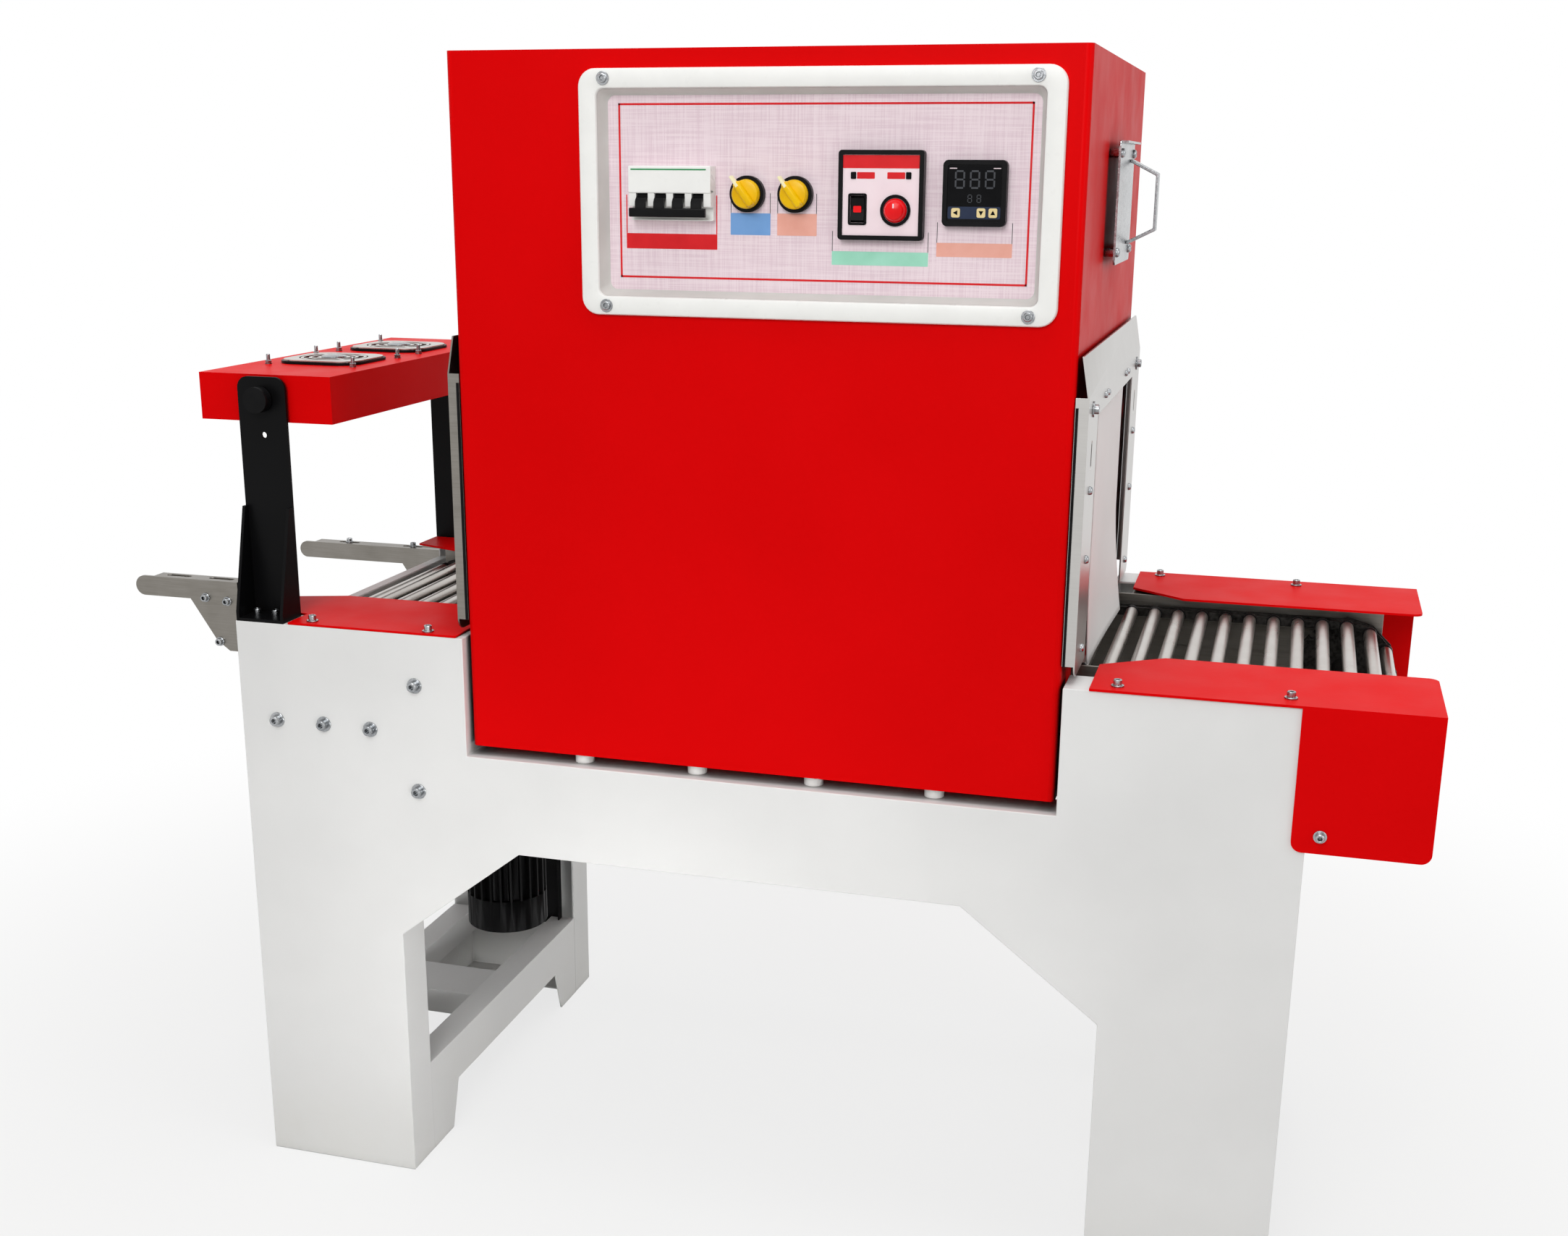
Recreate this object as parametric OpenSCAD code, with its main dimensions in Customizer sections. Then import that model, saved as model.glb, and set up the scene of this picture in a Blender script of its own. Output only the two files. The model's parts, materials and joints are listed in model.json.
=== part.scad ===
// Floor-standing heat shrink tunnel with a chain-driven roller conveyor.
// X runs along the conveyor to the exit, Y to the back, Z up; the origin is on the floor under the middle.

/* [Frame] */
// Length of the two side panels
frame_length = 1352; // [1300:1:1420]
// Depth over the two side panels
frame_depth = 650; // [620:1:720]
// Height of the side panels
frame_height = 767; // [740:1:820]
// Thickness of the panels' sheet steel
sheet = 3; // [2:0.5:4]
// Depth of the folded flange round each panel
flange_depth = 60; // [45:1:75]
// Width of each leg
leg_width = 218; // [200:1:240]
// Height of the bridge's underside
bridge_height = 485; // [440:1:520]
// Length of the slanted corner under the bridge
corner_run = 171; // [120:1:200]
// Height of the slanted corner under the bridge
corner_drop = 132; // [90:1:160]
// Depth of the notch that the tunnel stands in
notch_drop = 155; // [130:1:175]

/* [Leg ties] */
// Width of a tie's top face
tie_width = 40; // [30:1:50]
// Height of a tie
tie_height = 134; // [110:1:160]
// Height of the arch under a tie
arch_height = 68; // [40:1:85]
// Width of a tie's foot
tie_foot = 62; // [40:1:90]
// Slope of the arch's ends
arch_slope = 22; // [10:1:40]
// Depth of a tie's back lip
tie_lip = 40; // [25:1:50]
// Height of the plate across each end
end_rail_height = 45; // [30:1:60]
// Height of that plate's lower edge
end_rail_z = 300; // [220:1:380]
// Depth of the entry plate's top below the panels' tops
entry_plate_drop = 32; // [26:1:44]
// Width of the entry plate's top lip
entry_plate_lip = 16; // [10:1:17]

/* [Tunnel] */
// Length of the tunnel along the conveyor
tunnel_length = 742; // [680:1:780]
// Distance of the tunnel's middle from the frame's middle
tunnel_offset = 21; // [0:1:30]
// Height of the tunnel's body
tunnel_height = 839; // [800:1:900]
// Distance of the tunnel's face behind the panel's face
tunnel_recess = 10; // [4:1:20]
// Gap between the tunnel and the notch
tunnel_gap = 4; // [2:0.5:8]
// Radius of the tunnel's bent edges
tunnel_bend = 8; // [3:1:14]
// Height of the spacers under the tunnel
spacer_height = 13; // [8:1:20]
// Diameter of a spacer
spacer_d = 24; // [16:1:32]
// Distance between spacers
spacer_pitch = 150; // [110:1:180]
// Gap between a conveyor rail and the passage's wall
passage_gap = 9; // [6:1:16]
// Height of the passage over the rollers
passage_height = 320; // [280:1:340]

/* [Exit and entry frames] */
// Distance of a frame's plate from the tunnel's wall
portal_depth = 15; // [13:1:20]
// Thickness of the frames' steel
portal_sheet = 2; // [1.5:0.5:3]
// Height of the opening in a frame over the rollers
portal_height = 310; // [270:1:315]
// Width of the frame's edge that shows inside the passage
portal_lip = 3; // [1:1:8]
// Height of the plate over the opening
portal_head = 30; // [24:1:45]
// Height of the slanted hood
hood_height = 45; // [30:1:60]
// Gap between the slanted hood and the tunnel's wall
hood_gap = 5; // [3:0.5:9]
// Length of a setting slot in a frame
slot_length = 34; // [24:1:44]
// Width of a setting slot in a frame
slot_width = 9; // [7:0.5:11]
// Thickness of a curtain
curtain_thickness = 3; // [2:0.5:4]
// Gap between a curtain's edge and the side of its opening
curtain_gap = 27; // [20:1:40]
// Length of the curtain's foot that is pushed along the conveyor
curtain_kick = 14; // [8:1:30]
// Height at which the curtain starts to bend
curtain_bend = 105; // [80:1:140]

/* [Conveyor] */
// Diameter of a roller
roller_d = 17; // [14:1:20]
// Distance between rollers along the chain
roller_pitch = 31.75; // [30:0.25:34]
// Rollers that fit round one sprocket
sprocket_rollers = 12; // [10:1:12]
// Depth of the rollers' tops below the panels' tops
roller_drop = 12; // [10:1:20]
// Clear length of a roller between the chains
roller_length = 338; // [300:1:340]
// Distance of the end sprocket's centre past the frame
sprocket_overhang = 40; // [20:1:50]
// Thickness of a chain plate
chain_plate = 2.5; // [2:0.5:3]
// Height of a chain plate
chain_height = 12; // [10:1:14]
// Gap between a chain's plates
chain_inside = 13; // [11:1:14]
// Diameter of a chain pin
pin_d = 8; // [6:1:9]
// Thickness of a sprocket
sprocket_thickness = 9; // [7:1:10]
// Diameter of the shafts
shaft_d = 30; // [24:1:36]
// Depth of the conveyor's side rails
rail_height = 164; // [156:1:176]
// Gap between a chain and its rail
rail_gap = 16; // [14:1:18]
// Diameter of a shaft bearing
bearing_d = 72; // [60:1:84]

/* [Guards] */
// Overlap of a guard on the rollers' ends
guard_cover = 4; // [2:1:8]
// Length of the right guards past the frame
guard_overhang = 135; // [125:1:145]
// Height of a right guard's cheek
cheek_height = 168; // [140:1:175]
// Overlap of the cheek on the panel's face
cheek_lap = 16; // [10:1:24]
// Length of a guard's slanted inner corner
guard_corner = 73; // [50:1:90]
// Width of a guard's slanted inner corner
guard_cut = 52; // [30:1:60]
// Gap between a guard and the tunnel's frame
guard_gap = 19; // [12:1:24]

/* [Drive] */
// Diameter of the motor's body
motor_d = 118; // [100:1:124]
// Length of the motor's body
motor_length = 225; // [180:1:260]
// Length of the gearbox
gearbox_size = 112; // [100:1:120]
// Distance of the motor from the drive shaft
motor_offset = 131; // [125:1:140]
// Height of a cooling fin
fin_height = 7; // [4:1:9]
// Thickness of a cooling fin
fin_thickness = 3; // [2:0.5:4]
// Cooling fins round the motor
fins = 24; // [16:1:28]

/* [Fan bar] */
// Width of the fan bar
bar_width = 188; // [176:1:200]
// Height of the fan bar
bar_height = 60; // [52:1:70]
// Height of the bar's tilt axis over the frame
bar_rise = 283; // [250:1:320]
// Width of a post
post_width = 68; // [60:1:80]
// Thickness of a post's plate
post_sheet = 4; // [3:0.5:5]
// Depth of a post's foot
post_foot = 45; // [40:1:60]
// Height of the side webs of a post
post_web = 145; // [110:1:180]
// Distance of the rear post from the back of the frame
rear_inset = 24; // [16:1:30]
// Distance of a post from the end of the frame
post_inset = 2; // [0:1:6]
// Gap between the bar's end and its post
bar_gap = 5; // [5:0.5:8]
// Diameter of the tilt stud
stud_d = 12; // [10:1:14]
// Diameter of the clamp knob
knob_d = 33; // [28:1:40]
// Height of the clamp knob
knob_height = 17; // [14:1:22]
// Diameter of a fan's opening
fan_d = 96; // [88:1:104]
// Distance between the two fans
fan_pitch = 190; // [170:1:220]

/* [Arms] */
// Reach of the front arm past the frame
front_arm_reach = 152; // [120:1:180]
// Reach of the rear arm past the frame
rear_arm_reach = 256; // [200:1:280]
// Height of an arm
arm_height = 26; // [22:1:32]
// Height of the front arm's top over the frame
front_arm_rise = 48; // [40:1:56]
// Depth of the rear arm's top below the frame's top
rear_arm_drop = 25; // [16:1:40]
// Height of an arm's bracket
bracket_height = 93; // [80:1:110]
// Thickness of an arm's plate
arm_sheet = 4; // [3:0.5:5]
// Width of an arm's top lip
arm_lip = 25; // [18:1:32]
// Length of an arm's bracket along the frame's end
bracket_length = 71; // [60:1:80]
// Width of a bracket's return on the frame's end
bracket_return = 36; // [28:1:44]
// Length of a slot in an arm's lip
arm_slot = 36; // [28:1:44]

/* [Side plate] */
// Distance of the plate's middle from the tunnel's middle
plate_shift = -30; // [-60:1:0]
// Distance of the plate's middle below the tunnel's top
plate_drop = 165; // [150:1:180]
// Width of the plate on the tunnel's side
plate_width = 170; // [140:1:200]
// Height of that plate
plate_height = 141; // [120:1:160]
// Distance of the plate from the wall
plate_standoff = 12; // [8:1:18]
// Length of its handle
handle_length = 100; // [80:1:110]
// Reach of its handle
handle_reach = 35; // [30:1:45]
// Width of the handle's strip
handle_width = 22; // [16:1:28]
// Distance of the handle from the plate's middle
handle_shift = 45; // [30:1:60]

/* [Control panel] */
// Width of the bezel
bezel_width = 552; // [540:1:570]
// Height of the bezel
bezel_height = 272; // [250:1:290]
// Corner radius of the bezel
bezel_r = 20; // [12:1:26]
// Height of the bezel over the tunnel's face
bezel_rise = 8; // [6:1:12]
// Width of the bezel's flat rim
bezel_rim = 22; // [16:1:26]
// Width of the slope inside the rim
bezel_slope = 15; // [8:1:18]
// Depth of the panel behind the tunnel's face
panel_depth = 14; // [10:1:20]
// Distance of the bezel's edge from the tunnel's edge
bezel_margin = 24; // [16:1:40]
// Distance of the bezel's middle below the tunnel's top
bezel_drop = 157; // [150:1:180]
// Width of the main breaker
breaker_width = 98; // [90:1:106]
// Diameter of a rotary switch's base
switch_d = 40; // [34:1:46]
// Side of the speed controller
speed_side = 96; // [90:1:100]
// Side of the temperature controller
heat_side = 70; // [64:1:74]
// Distance of the breaker's middle from the panel's left edge
breaker_inset = 86; // [76:1:90]
// Gap between the breaker and the first rotary switch
breaker_gap = 19; // [12:1:24]
// Distance between the two rotary switches
switch_pitch = 56; // [50:1:62]
// Gap between the last rotary switch and the speed controller
switch_gap = 31; // [24:1:36]
// Gap between the two controllers
controller_gap = 21; // [14:1:28]

/* [Hidden] */
$fn = 48;
slack = 0.08;
seat_gap = 0.3;
small_gap = 0.6;
over = 1;
half_length = frame_length / 2;
half_depth = frame_depth / 2;
ledge_height = frame_height - notch_drop;
corner_foot = bridge_height - corner_drop;
leg_edge = half_length - leg_width;
bay_half = half_depth - flange_depth;
strut_half = 45;

tunnel_left = tunnel_offset - tunnel_length / 2;
tunnel_right = tunnel_offset + tunnel_length / 2;
tunnel_front = half_depth - tunnel_recess;
tunnel_bottom = ledge_height + spacer_height;
tunnel_top = tunnel_bottom + tunnel_height;

roller_top = frame_height - roller_drop;
pitch_r = sprocket_rollers * roller_pitch / (2 * PI);
axle_height = roller_top - roller_d / 2 - pitch_r;
run_allowance = 50;
straight_pitches = round((frame_length - run_allowance) / roller_pitch);
run_length = straight_pitches * roller_pitch;
exit_axle = half_length + sprocket_overhang;
entry_axle = exit_axle - run_length;
loop_rollers = 2 * straight_pitches + sprocket_rollers;
chain_inner = roller_length / 2;
chain_outer = chain_inner + chain_inside + 2 * chain_plate;
chain_middle = (chain_inner + chain_outer) / 2;
rail_face = chain_outer + rail_gap;
rail_outer = rail_face + sheet;
passage_half = rail_outer + passage_gap;
rail_top = frame_height - sheet;
rail_bottom = rail_top - rail_height;
rail_reach = 48;
rail_lap = 25;
passage_top = roller_top + passage_height;

portal_lift = 8;
portal_inset = 3;
slot_drop = 40;
portal_foot = frame_height + portal_lift;
portal_top = roller_top + portal_height;
portal_bend = portal_top + portal_head;
portal_half = tunnel_front - portal_inset;
portal_corner = 14;
opening_half = passage_half - portal_lip;
slot_y = (opening_half + portal_half) / 2;
slot_z = portal_top - slot_drop;
curtain_half = opening_half - curtain_gap;
curtain_lift = 7;
curtain_head = 4;

bar_axis_x = -half_length + post_inset + post_width / 2;
bar_axis_z = frame_height + bar_rise;
post_face = half_depth - post_foot;
bar_half = post_face - bar_gap;
bar_back = bar_half - rear_inset;
post_drop = 2;
post_top = bar_axis_z + bar_height / 2 - post_drop;

panel_face = -tunnel_front + panel_depth;
panel_x = tunnel_right - bezel_margin - bezel_width / 2;
panel_z = tunnel_top - bezel_drop;
panel_sheet = 3;
panel_width = bezel_width - 2 * bezel_rim;
panel_height = bezel_height - 2 * bezel_rim;
breaker_x = panel_x - panel_width / 2 + breaker_inset;
first_switch_x = breaker_x + breaker_width / 2 + breaker_gap + switch_d / 2;
switch_x = [first_switch_x, first_switch_x + switch_pitch];
speed_x = switch_x[1] + switch_d / 2 + switch_gap + speed_side / 2;
heat_x = speed_x + speed_side / 2 + controller_gap + heat_side / 2;
heat_lift = 3;
control_z = panel_z + 1;

plate_y = plate_shift;
plate_z = tunnel_top - plate_drop;
plate_sheet = 2.5;
plate_corner = 6;

guard_inner = -chain_inner + guard_cover;
arm_inset = 10;
arm_reach_most = max(front_arm_reach, rear_arm_reach);
switch_reach = 26;
toggle_d = 14;
toggle_rise = 13;
lever_rise = 6;
breaker_step = 34;
breaker_cheek = 5;
control_reach = max(switch_reach, toggle_rise + toggle_d / 2 + lever_rise);
front_most = max(half_depth + sheet, -panel_face + control_reach);
middle_x = (guard_overhang - arm_reach_most) / 2;
middle_y = (half_depth + sheet - front_most) / 2;

// Moves the machine so that the middle of its footprint is over the origin
module at_origin() { translate([-middle_x, -middle_y, 0]) children(); }

// A profile drawn in X and Z, thickened along Y
module along_y(depth) { translate([0, depth, 0]) rotate([90, 0, 0]) linear_extrude(depth) children(); }

// A profile drawn in Y and Z, thickened along X
module along_x(depth) { rotate([90, 0, 90]) linear_extrude(depth) children(); }

module to_back() { mirror([0, 1, 0]) children(); }

module on_right() { mirror([1, 0, 0]) children(); }

// Unit normal to the left of the step from a to b
function left_normal(a, b) = [a[1] - b[1], b[0] - a[0]] / norm(b - a);

// A closed outline moved inwards by the same distance all round
function inset(points, distance) = [
    for (i = [0:len(points) - 1])
        let (
            before = points[(i + len(points) - 1) % len(points)],
            after = points[(i + 1) % len(points)],
            n1 = left_normal(before, points[i]),
            n2 = left_normal(points[i], after)
        )
        points[i] + distance * (n1 + n2) / (1 + n1 * n2)
];

module rounded_rectangle(width, height, r) {
    square([width - 2 * r, height], center = true);
    square([width, height - 2 * r], center = true);
    for (sx = [-1, 1], sy = [-1, 1])
        translate([sx * (width / 2 - r), sy * (height / 2 - r)]) circle(r);
}

// Bridge-shaped outline of a side panel, with a leg at each end and the notch for the tunnel
panel_outline = [
    [-half_length, 0], [-leg_edge, 0], [-leg_edge, corner_foot],
    [-leg_edge + corner_run, bridge_height], [leg_edge - corner_run, bridge_height],
    [leg_edge, corner_foot], [leg_edge, 0], [half_length, 0],
    [half_length, frame_height], [tunnel_right + tunnel_gap, frame_height],
    [tunnel_right + tunnel_gap, ledge_height], [tunnel_left - tunnel_gap, ledge_height],
    [tunnel_left - tunnel_gap, frame_height], [-half_length, frame_height]
];

// A sheet with its flange folded back all round
module side_panel() {
    difference() {
        translate([0, -half_depth, 0]) along_y(flange_depth) polygon(panel_outline);
        translate([0, -half_depth + sheet, 0]) along_y(flange_depth) polygon(inset(panel_outline, sheet));
    }
}

module front_side_panel() { color("whitesmoke") side_panel(); }

module rear_side_panel() { color("whitesmoke") to_back() side_panel(); }

// An angle across a pair of legs, with an arch between its feet
module leg_tie() {
    arch_end = bay_half - tie_foot;
    translate([-sheet, 0, 0]) along_x(sheet) polygon([
        [-bay_half, 0], [-arch_end, 0], [-arch_end + arch_slope, arch_height],
        [arch_end - arch_slope, arch_height], [arch_end, 0], [bay_half, 0],
        [bay_half, tie_height], [-bay_half, tie_height]
    ]);
    translate([-tie_width, -bay_half, tie_height - sheet]) cube([tie_width, 2 * bay_half, sheet]);
    translate([-tie_width, -bay_half, tie_height - tie_lip]) cube([sheet, 2 * bay_half, tie_lip]);
}

module left_leg_ties() {
    color("gainsboro") {
        translate([-leg_edge, 0, 0]) leg_tie();
        translate([-half_length, 0, 0]) on_right() leg_tie();
    }
}

module right_leg_ties() { on_right() left_leg_ties(); }

// A channel between the lips of a pair of ties
module tie_strut() {
    length = leg_width - 2 * tie_width;
    translate([-half_length + tie_width, 0, tie_height - tie_lip]) along_x(length) difference() {
        translate([-strut_half, 0]) square([2 * strut_half, tie_lip - sheet]);
        translate([-strut_half + sheet, -over])
            square([2 * (strut_half - sheet), tie_lip - 2 * sheet + over]);
    }
}

module tie_struts() {
    color("gainsboro") {
        tie_strut();
        on_right() tie_strut();
    }
}

// A plate across the outer end of a pair of legs
module end_rail() {
    translate([-half_length, -bay_half, end_rail_z]) cube([sheet, 2 * bay_half, end_rail_height]);
}

// An angle across the entry end, below the rollers' tops
module entry_plate() {
    top = frame_height - entry_plate_drop;
    translate([-half_length, -bay_half, top - end_rail_height]) cube([sheet, 2 * bay_half, end_rail_height]);
    translate([-half_length, -bay_half, top - sheet]) cube([entry_plate_lip, 2 * bay_half, sheet]);
}

module end_rails() {
    color("gainsboro") {
        end_rail();
        on_right() end_rail();
        entry_plate();
    }
}

// The insulated body over the conveyor, with the passage through it and a pocket for the controls
module tunnel_hood() {
    color("red") difference() {
        translate([tunnel_offset, 0, tunnel_bottom]) linear_extrude(tunnel_height)
            rounded_rectangle(tunnel_length, 2 * tunnel_front, tunnel_bend);
        translate([tunnel_left - over, -passage_half, tunnel_bottom - over])
            cube([tunnel_length + 2 * over, 2 * passage_half, passage_top - tunnel_bottom + over]);
        translate([panel_x, -tunnel_front - over, panel_z]) along_y(panel_depth + panel_sheet + over)
            square([panel_width, panel_height], center = true);
    }
}

module tunnel_spacers() {
    color("white")
        for (i = [-1.5:1.5], side = [-1, 1])
            translate([tunnel_offset + i * spacer_pitch, side * (bay_half + flange_depth / 2), ledge_height])
                cylinder(d = spacer_d, h = spacer_height);
}

// A plate with the passage and two slots cut out, returned to the wall at its sides, with a slanted hood
module portal() {
    plate_x = portal_depth - portal_sheet;
    r = portal_corner;
    translate([plate_x, 0, 0]) along_x(portal_sheet) difference() {
        union() {
            translate([-portal_half, portal_foot + r])
                square([2 * portal_half, portal_bend - portal_foot - r]);
            translate([-portal_half + r, portal_foot]) square([2 * (portal_half - r), r]);
            for (side = [-1, 1])
                translate([side * (portal_half - r), portal_foot + r]) circle(r);
        }
        translate([-opening_half, portal_foot - over])
            square([2 * opening_half, portal_top - portal_foot + over]);
        for (side = [-1, 1])
            translate([side * slot_y, slot_z]) slot_shape();
    }
    for (side = [-1, 1])
        translate([0, side * portal_half - (side + 1) / 2 * portal_sheet, portal_foot + r])
            cube([plate_x, portal_sheet, portal_bend - portal_foot - r]);
    translate([0, -portal_half, 0]) along_y(2 * portal_half) polygon([
        [plate_x, portal_bend], [portal_depth, portal_bend],
        [hood_gap + portal_sheet, portal_bend + hood_height], [hood_gap, portal_bend + hood_height]
    ]);
}

// An upright slot with round ends
module slot_shape() {
    straight = slot_length - slot_width;
    square([slot_width, straight], center = true);
    for (end = [-1, 1])
        translate([0, end * straight / 2]) circle(d = slot_width);
}

module exit_frame() { color("silver") translate([tunnel_right, 0, 0]) portal(); }

module entry_frame() { color("silver") translate([tunnel_left, 0, 0]) on_right() portal(); }

// A hanging sheet whose foot the conveyor pushes along
module curtain() {
    foot_z = roller_top + curtain_lift;
    bend_z = roller_top + curtain_bend;
    head_z = portal_bend - curtain_head;
    translate([0, -curtain_half, 0]) along_y(2 * curtain_half) polygon([
        [0, bend_z], [curtain_kick, foot_z], [curtain_kick + curtain_thickness, foot_z],
        [curtain_thickness, bend_z], [curtain_thickness, head_z], [0, head_z]
    ]);
}

module exit_curtain() {
    plate_back = tunnel_right + portal_depth - portal_sheet;
    color("ghostwhite") translate([plate_back - curtain_thickness, 0, 0]) curtain();
}

module entry_curtain() {
    plate_back = tunnel_left - portal_depth + portal_sheet;
    color("ghostwhite") translate([plate_back, 0, 0]) curtain();
}

// The plate on the side wall, on four stand-offs, with its top edge bent outwards
module side_plate() {
    lip = 10;
    stand_off_d = 10;
    stand_off_inset = 14;
    stand_off_y = plate_width / 2 - stand_off_inset;
    stand_off_z = plate_height / 2 - stand_off_inset;
    color("lightgray") translate([tunnel_right, plate_y, plate_z]) {
        translate([plate_standoff, 0, 0]) along_x(plate_sheet)
            rounded_rectangle(plate_width, plate_height, plate_corner);
        translate([plate_standoff, -plate_width / 2 + plate_corner, plate_height / 2 - plate_sheet])
            cube([lip, plate_width - 2 * plate_corner, plate_sheet]);
        for (sy = [-1, 1], sz = [-1, 1])
            translate([0, sy * stand_off_y, sz * stand_off_z])
                rotate([0, 90, 0]) cylinder(d = stand_off_d, h = plate_standoff);
    }
}

// A bent strip with a spread foot at each end
module side_plate_handle() {
    strip = 3;
    foot = 16;
    end = handle_length / 2;
    grip = end - foot;
    handle_y = plate_y + handle_shift - handle_width / 2;
    color("silver") translate([tunnel_right + plate_standoff + plate_sheet, handle_y, plate_z])
        along_y(handle_width) polygon([
            [0, -end], [strip, -end], [handle_reach, -grip], [handle_reach, grip],
            [strip, end], [0, end], [0, end - strip],
            [handle_reach - strip, grip - strip], [handle_reach - strip, strip - grip], [0, strip - end]
        ]);
}

// Position on the chain loop, in X and Z, after a number of roller pitches from the start of the top run
function loop_point(i) =
    i <= straight_pitches ? [entry_axle + i * roller_pitch, axle_height + pitch_r] :
    i <= straight_pitches + sprocket_rollers / 2 ?
        let (angle = 90 - (i - straight_pitches) * 360 / sprocket_rollers)
        [exit_axle + pitch_r * cos(angle), axle_height + pitch_r * sin(angle)] :
    i <= 2 * straight_pitches + sprocket_rollers / 2 ?
        [exit_axle - (i - straight_pitches - sprocket_rollers / 2) * roller_pitch, axle_height - pitch_r] :
        let (angle = -90 - (i - 2 * straight_pitches - sprocket_rollers / 2) * 360 / sprocket_rollers)
        [entry_axle + pitch_r * cos(angle), axle_height + pitch_r * sin(angle)];

module loop_area(r) {
    translate([entry_axle, axle_height - r]) square([run_length, 2 * r]);
    for (x = [entry_axle, exit_axle])
        translate([x, axle_height]) circle(r);
}

module chain_ring(y) {
    translate([0, y, 0]) along_y(chain_plate) difference() {
        loop_area(pitch_r + chain_height / 2);
        loop_area(pitch_r - chain_height / 2);
    }
}

// Two rows of link plates round both sprockets, joined by a pin at each roller
module chain() {
    chain_ring(-chain_outer);
    chain_ring(-chain_inner - chain_plate);
    for (i = [0:loop_rollers - 1])
        translate([loop_point(i)[0], -chain_inner - chain_plate, loop_point(i)[1]])
            rotate([90, 0, 0]) cylinder(d = pin_d, h = chain_inside);
}

module conveyor_chains() {
    color("dimgray") {
        chain();
        to_back() chain();
    }
}

module conveyor_rollers() {
    color("silver")
        for (i = [0:loop_rollers - 1])
            translate([loop_point(i)[0], chain_inner, loop_point(i)[1]])
                rotate([90, 0, 0]) cylinder(d = roller_d, h = roller_length);
}

// A toothed disc whose gaps hold the chain's pins
module sprocket() {
    teeth = 2 * sprocket_rollers;
    tooth_rise = 3;
    tooth_play = 0.4;
    rotate([90, 0, 0]) translate([0, 0, -sprocket_thickness / 2]) difference() {
        cylinder(r = pitch_r + tooth_rise, h = sprocket_thickness);
        for (i = [0:teeth - 1])
            rotate(i * 360 / teeth) translate([pitch_r, 0, -over])
                cylinder(d = pin_d + tooth_play, h = sprocket_thickness + 2 * over);
    }
}

// A shaft across the conveyor with a sprocket at each chain
module sprocket_shaft() {
    stub = 12;
    shaft_half = rail_outer + stub;
    rotate([90, 0, 0]) translate([0, 0, -shaft_half]) cylinder(d = shaft_d, h = 2 * shaft_half);
    for (side = [-1, 1])
        translate([0, side * chain_middle, 0]) sprocket();
}

module entry_drive_shaft() { color("slategray") translate([entry_axle, 0, axle_height]) sprocket_shaft(); }

module exit_idler_shaft() { color("slategray") translate([exit_axle, 0, axle_height]) sprocket_shaft(); }

module shaft_bearings() {
    width = 14;
    color("gray")
        for (x = [entry_axle, exit_axle], side = [-1, 1])
            translate([x, side * (rail_outer + width / 2), axle_height]) rotate([90, 0, 0]) difference() {
                cylinder(d = bearing_d, h = width, center = true);
                cylinder(d = shaft_d + 2 * slack, h = width + 2 * over, center = true);
            }
}

// A plate beside the chain, with a flange under the panel's top on both sides of the tunnel
module conveyor_rail() {
    tab_reach = bay_half + rail_lap;
    difference() {
        translate([entry_axle - rail_reach, -rail_outer, rail_bottom])
            cube([run_length + 2 * rail_reach, sheet, rail_height]);
        for (x = [entry_axle, exit_axle])
            translate([x, 0, axle_height]) rotate([90, 0, 0])
                cylinder(d = shaft_d + 2 * slack, h = frame_depth);
    }
    tabs = [
        [-half_length + sheet, tunnel_left - portal_depth - guard_gap],
        [tunnel_right + portal_depth + guard_gap, half_length - sheet]
    ];
    for (tab = tabs)
        translate([tab[0], -tab_reach, rail_top - sheet])
            cube([tab[1] - tab[0], tab_reach - rail_face, sheet]);
}

module conveyor_rails() {
    color("darkgray") {
        conveyor_rail();
        to_back() conveyor_rail();
    }
}

motor_x = entry_axle + motor_offset;
motor_plate_t = 6;

module motor_plate() {
    margin = 25;
    plate_length = gearbox_size + 2 * margin;
    color("darkgray") translate([motor_x - plate_length / 2, -rail_outer, rail_bottom - motor_plate_t])
        cube([plate_length, 2 * rail_outer, motor_plate_t]);
}

// A worm gearbox under its plate with the finned motor and its fan cowl hanging below it
module gear_motor() {
    flange = 12;
    flange_lip = 8;
    box_corner = 10;
    cowl = 48;
    terminal_box = [34, 60, 80];
    terminal_sink = 12;
    terminal_drop = 30;
    core_d = motor_d - 2 * fin_height;
    box_bottom = rail_bottom - motor_plate_t - gearbox_size;
    motor_top = box_bottom - flange;
    terminal_z = motor_top - terminal_drop - terminal_box[2];
    color([0.1, 0.1, 0.1]) translate([motor_x, 0, 0]) {
        translate([0, 0, box_bottom]) linear_extrude(gearbox_size)
            rounded_rectangle(gearbox_size, gearbox_size, box_corner);
        translate([0, 0, motor_top]) cylinder(d = motor_d + 2 * flange_lip, h = flange);
        translate([0, 0, motor_top - motor_length]) cylinder(d = motor_d, h = cowl);
        translate([0, 0, motor_top - motor_length + cowl]) linear_extrude(motor_length - cowl) {
            circle(d = core_d);
            for (i = [0:fins - 1])
                rotate(i * 360 / fins) translate([core_d / 2 - over, -fin_thickness / 2])
                    square([fin_height + over, fin_thickness]);
        }
        translate([motor_d / 2 - terminal_sink, -terminal_box[1] / 2, terminal_z]) cube(terminal_box);
    }
}

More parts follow.
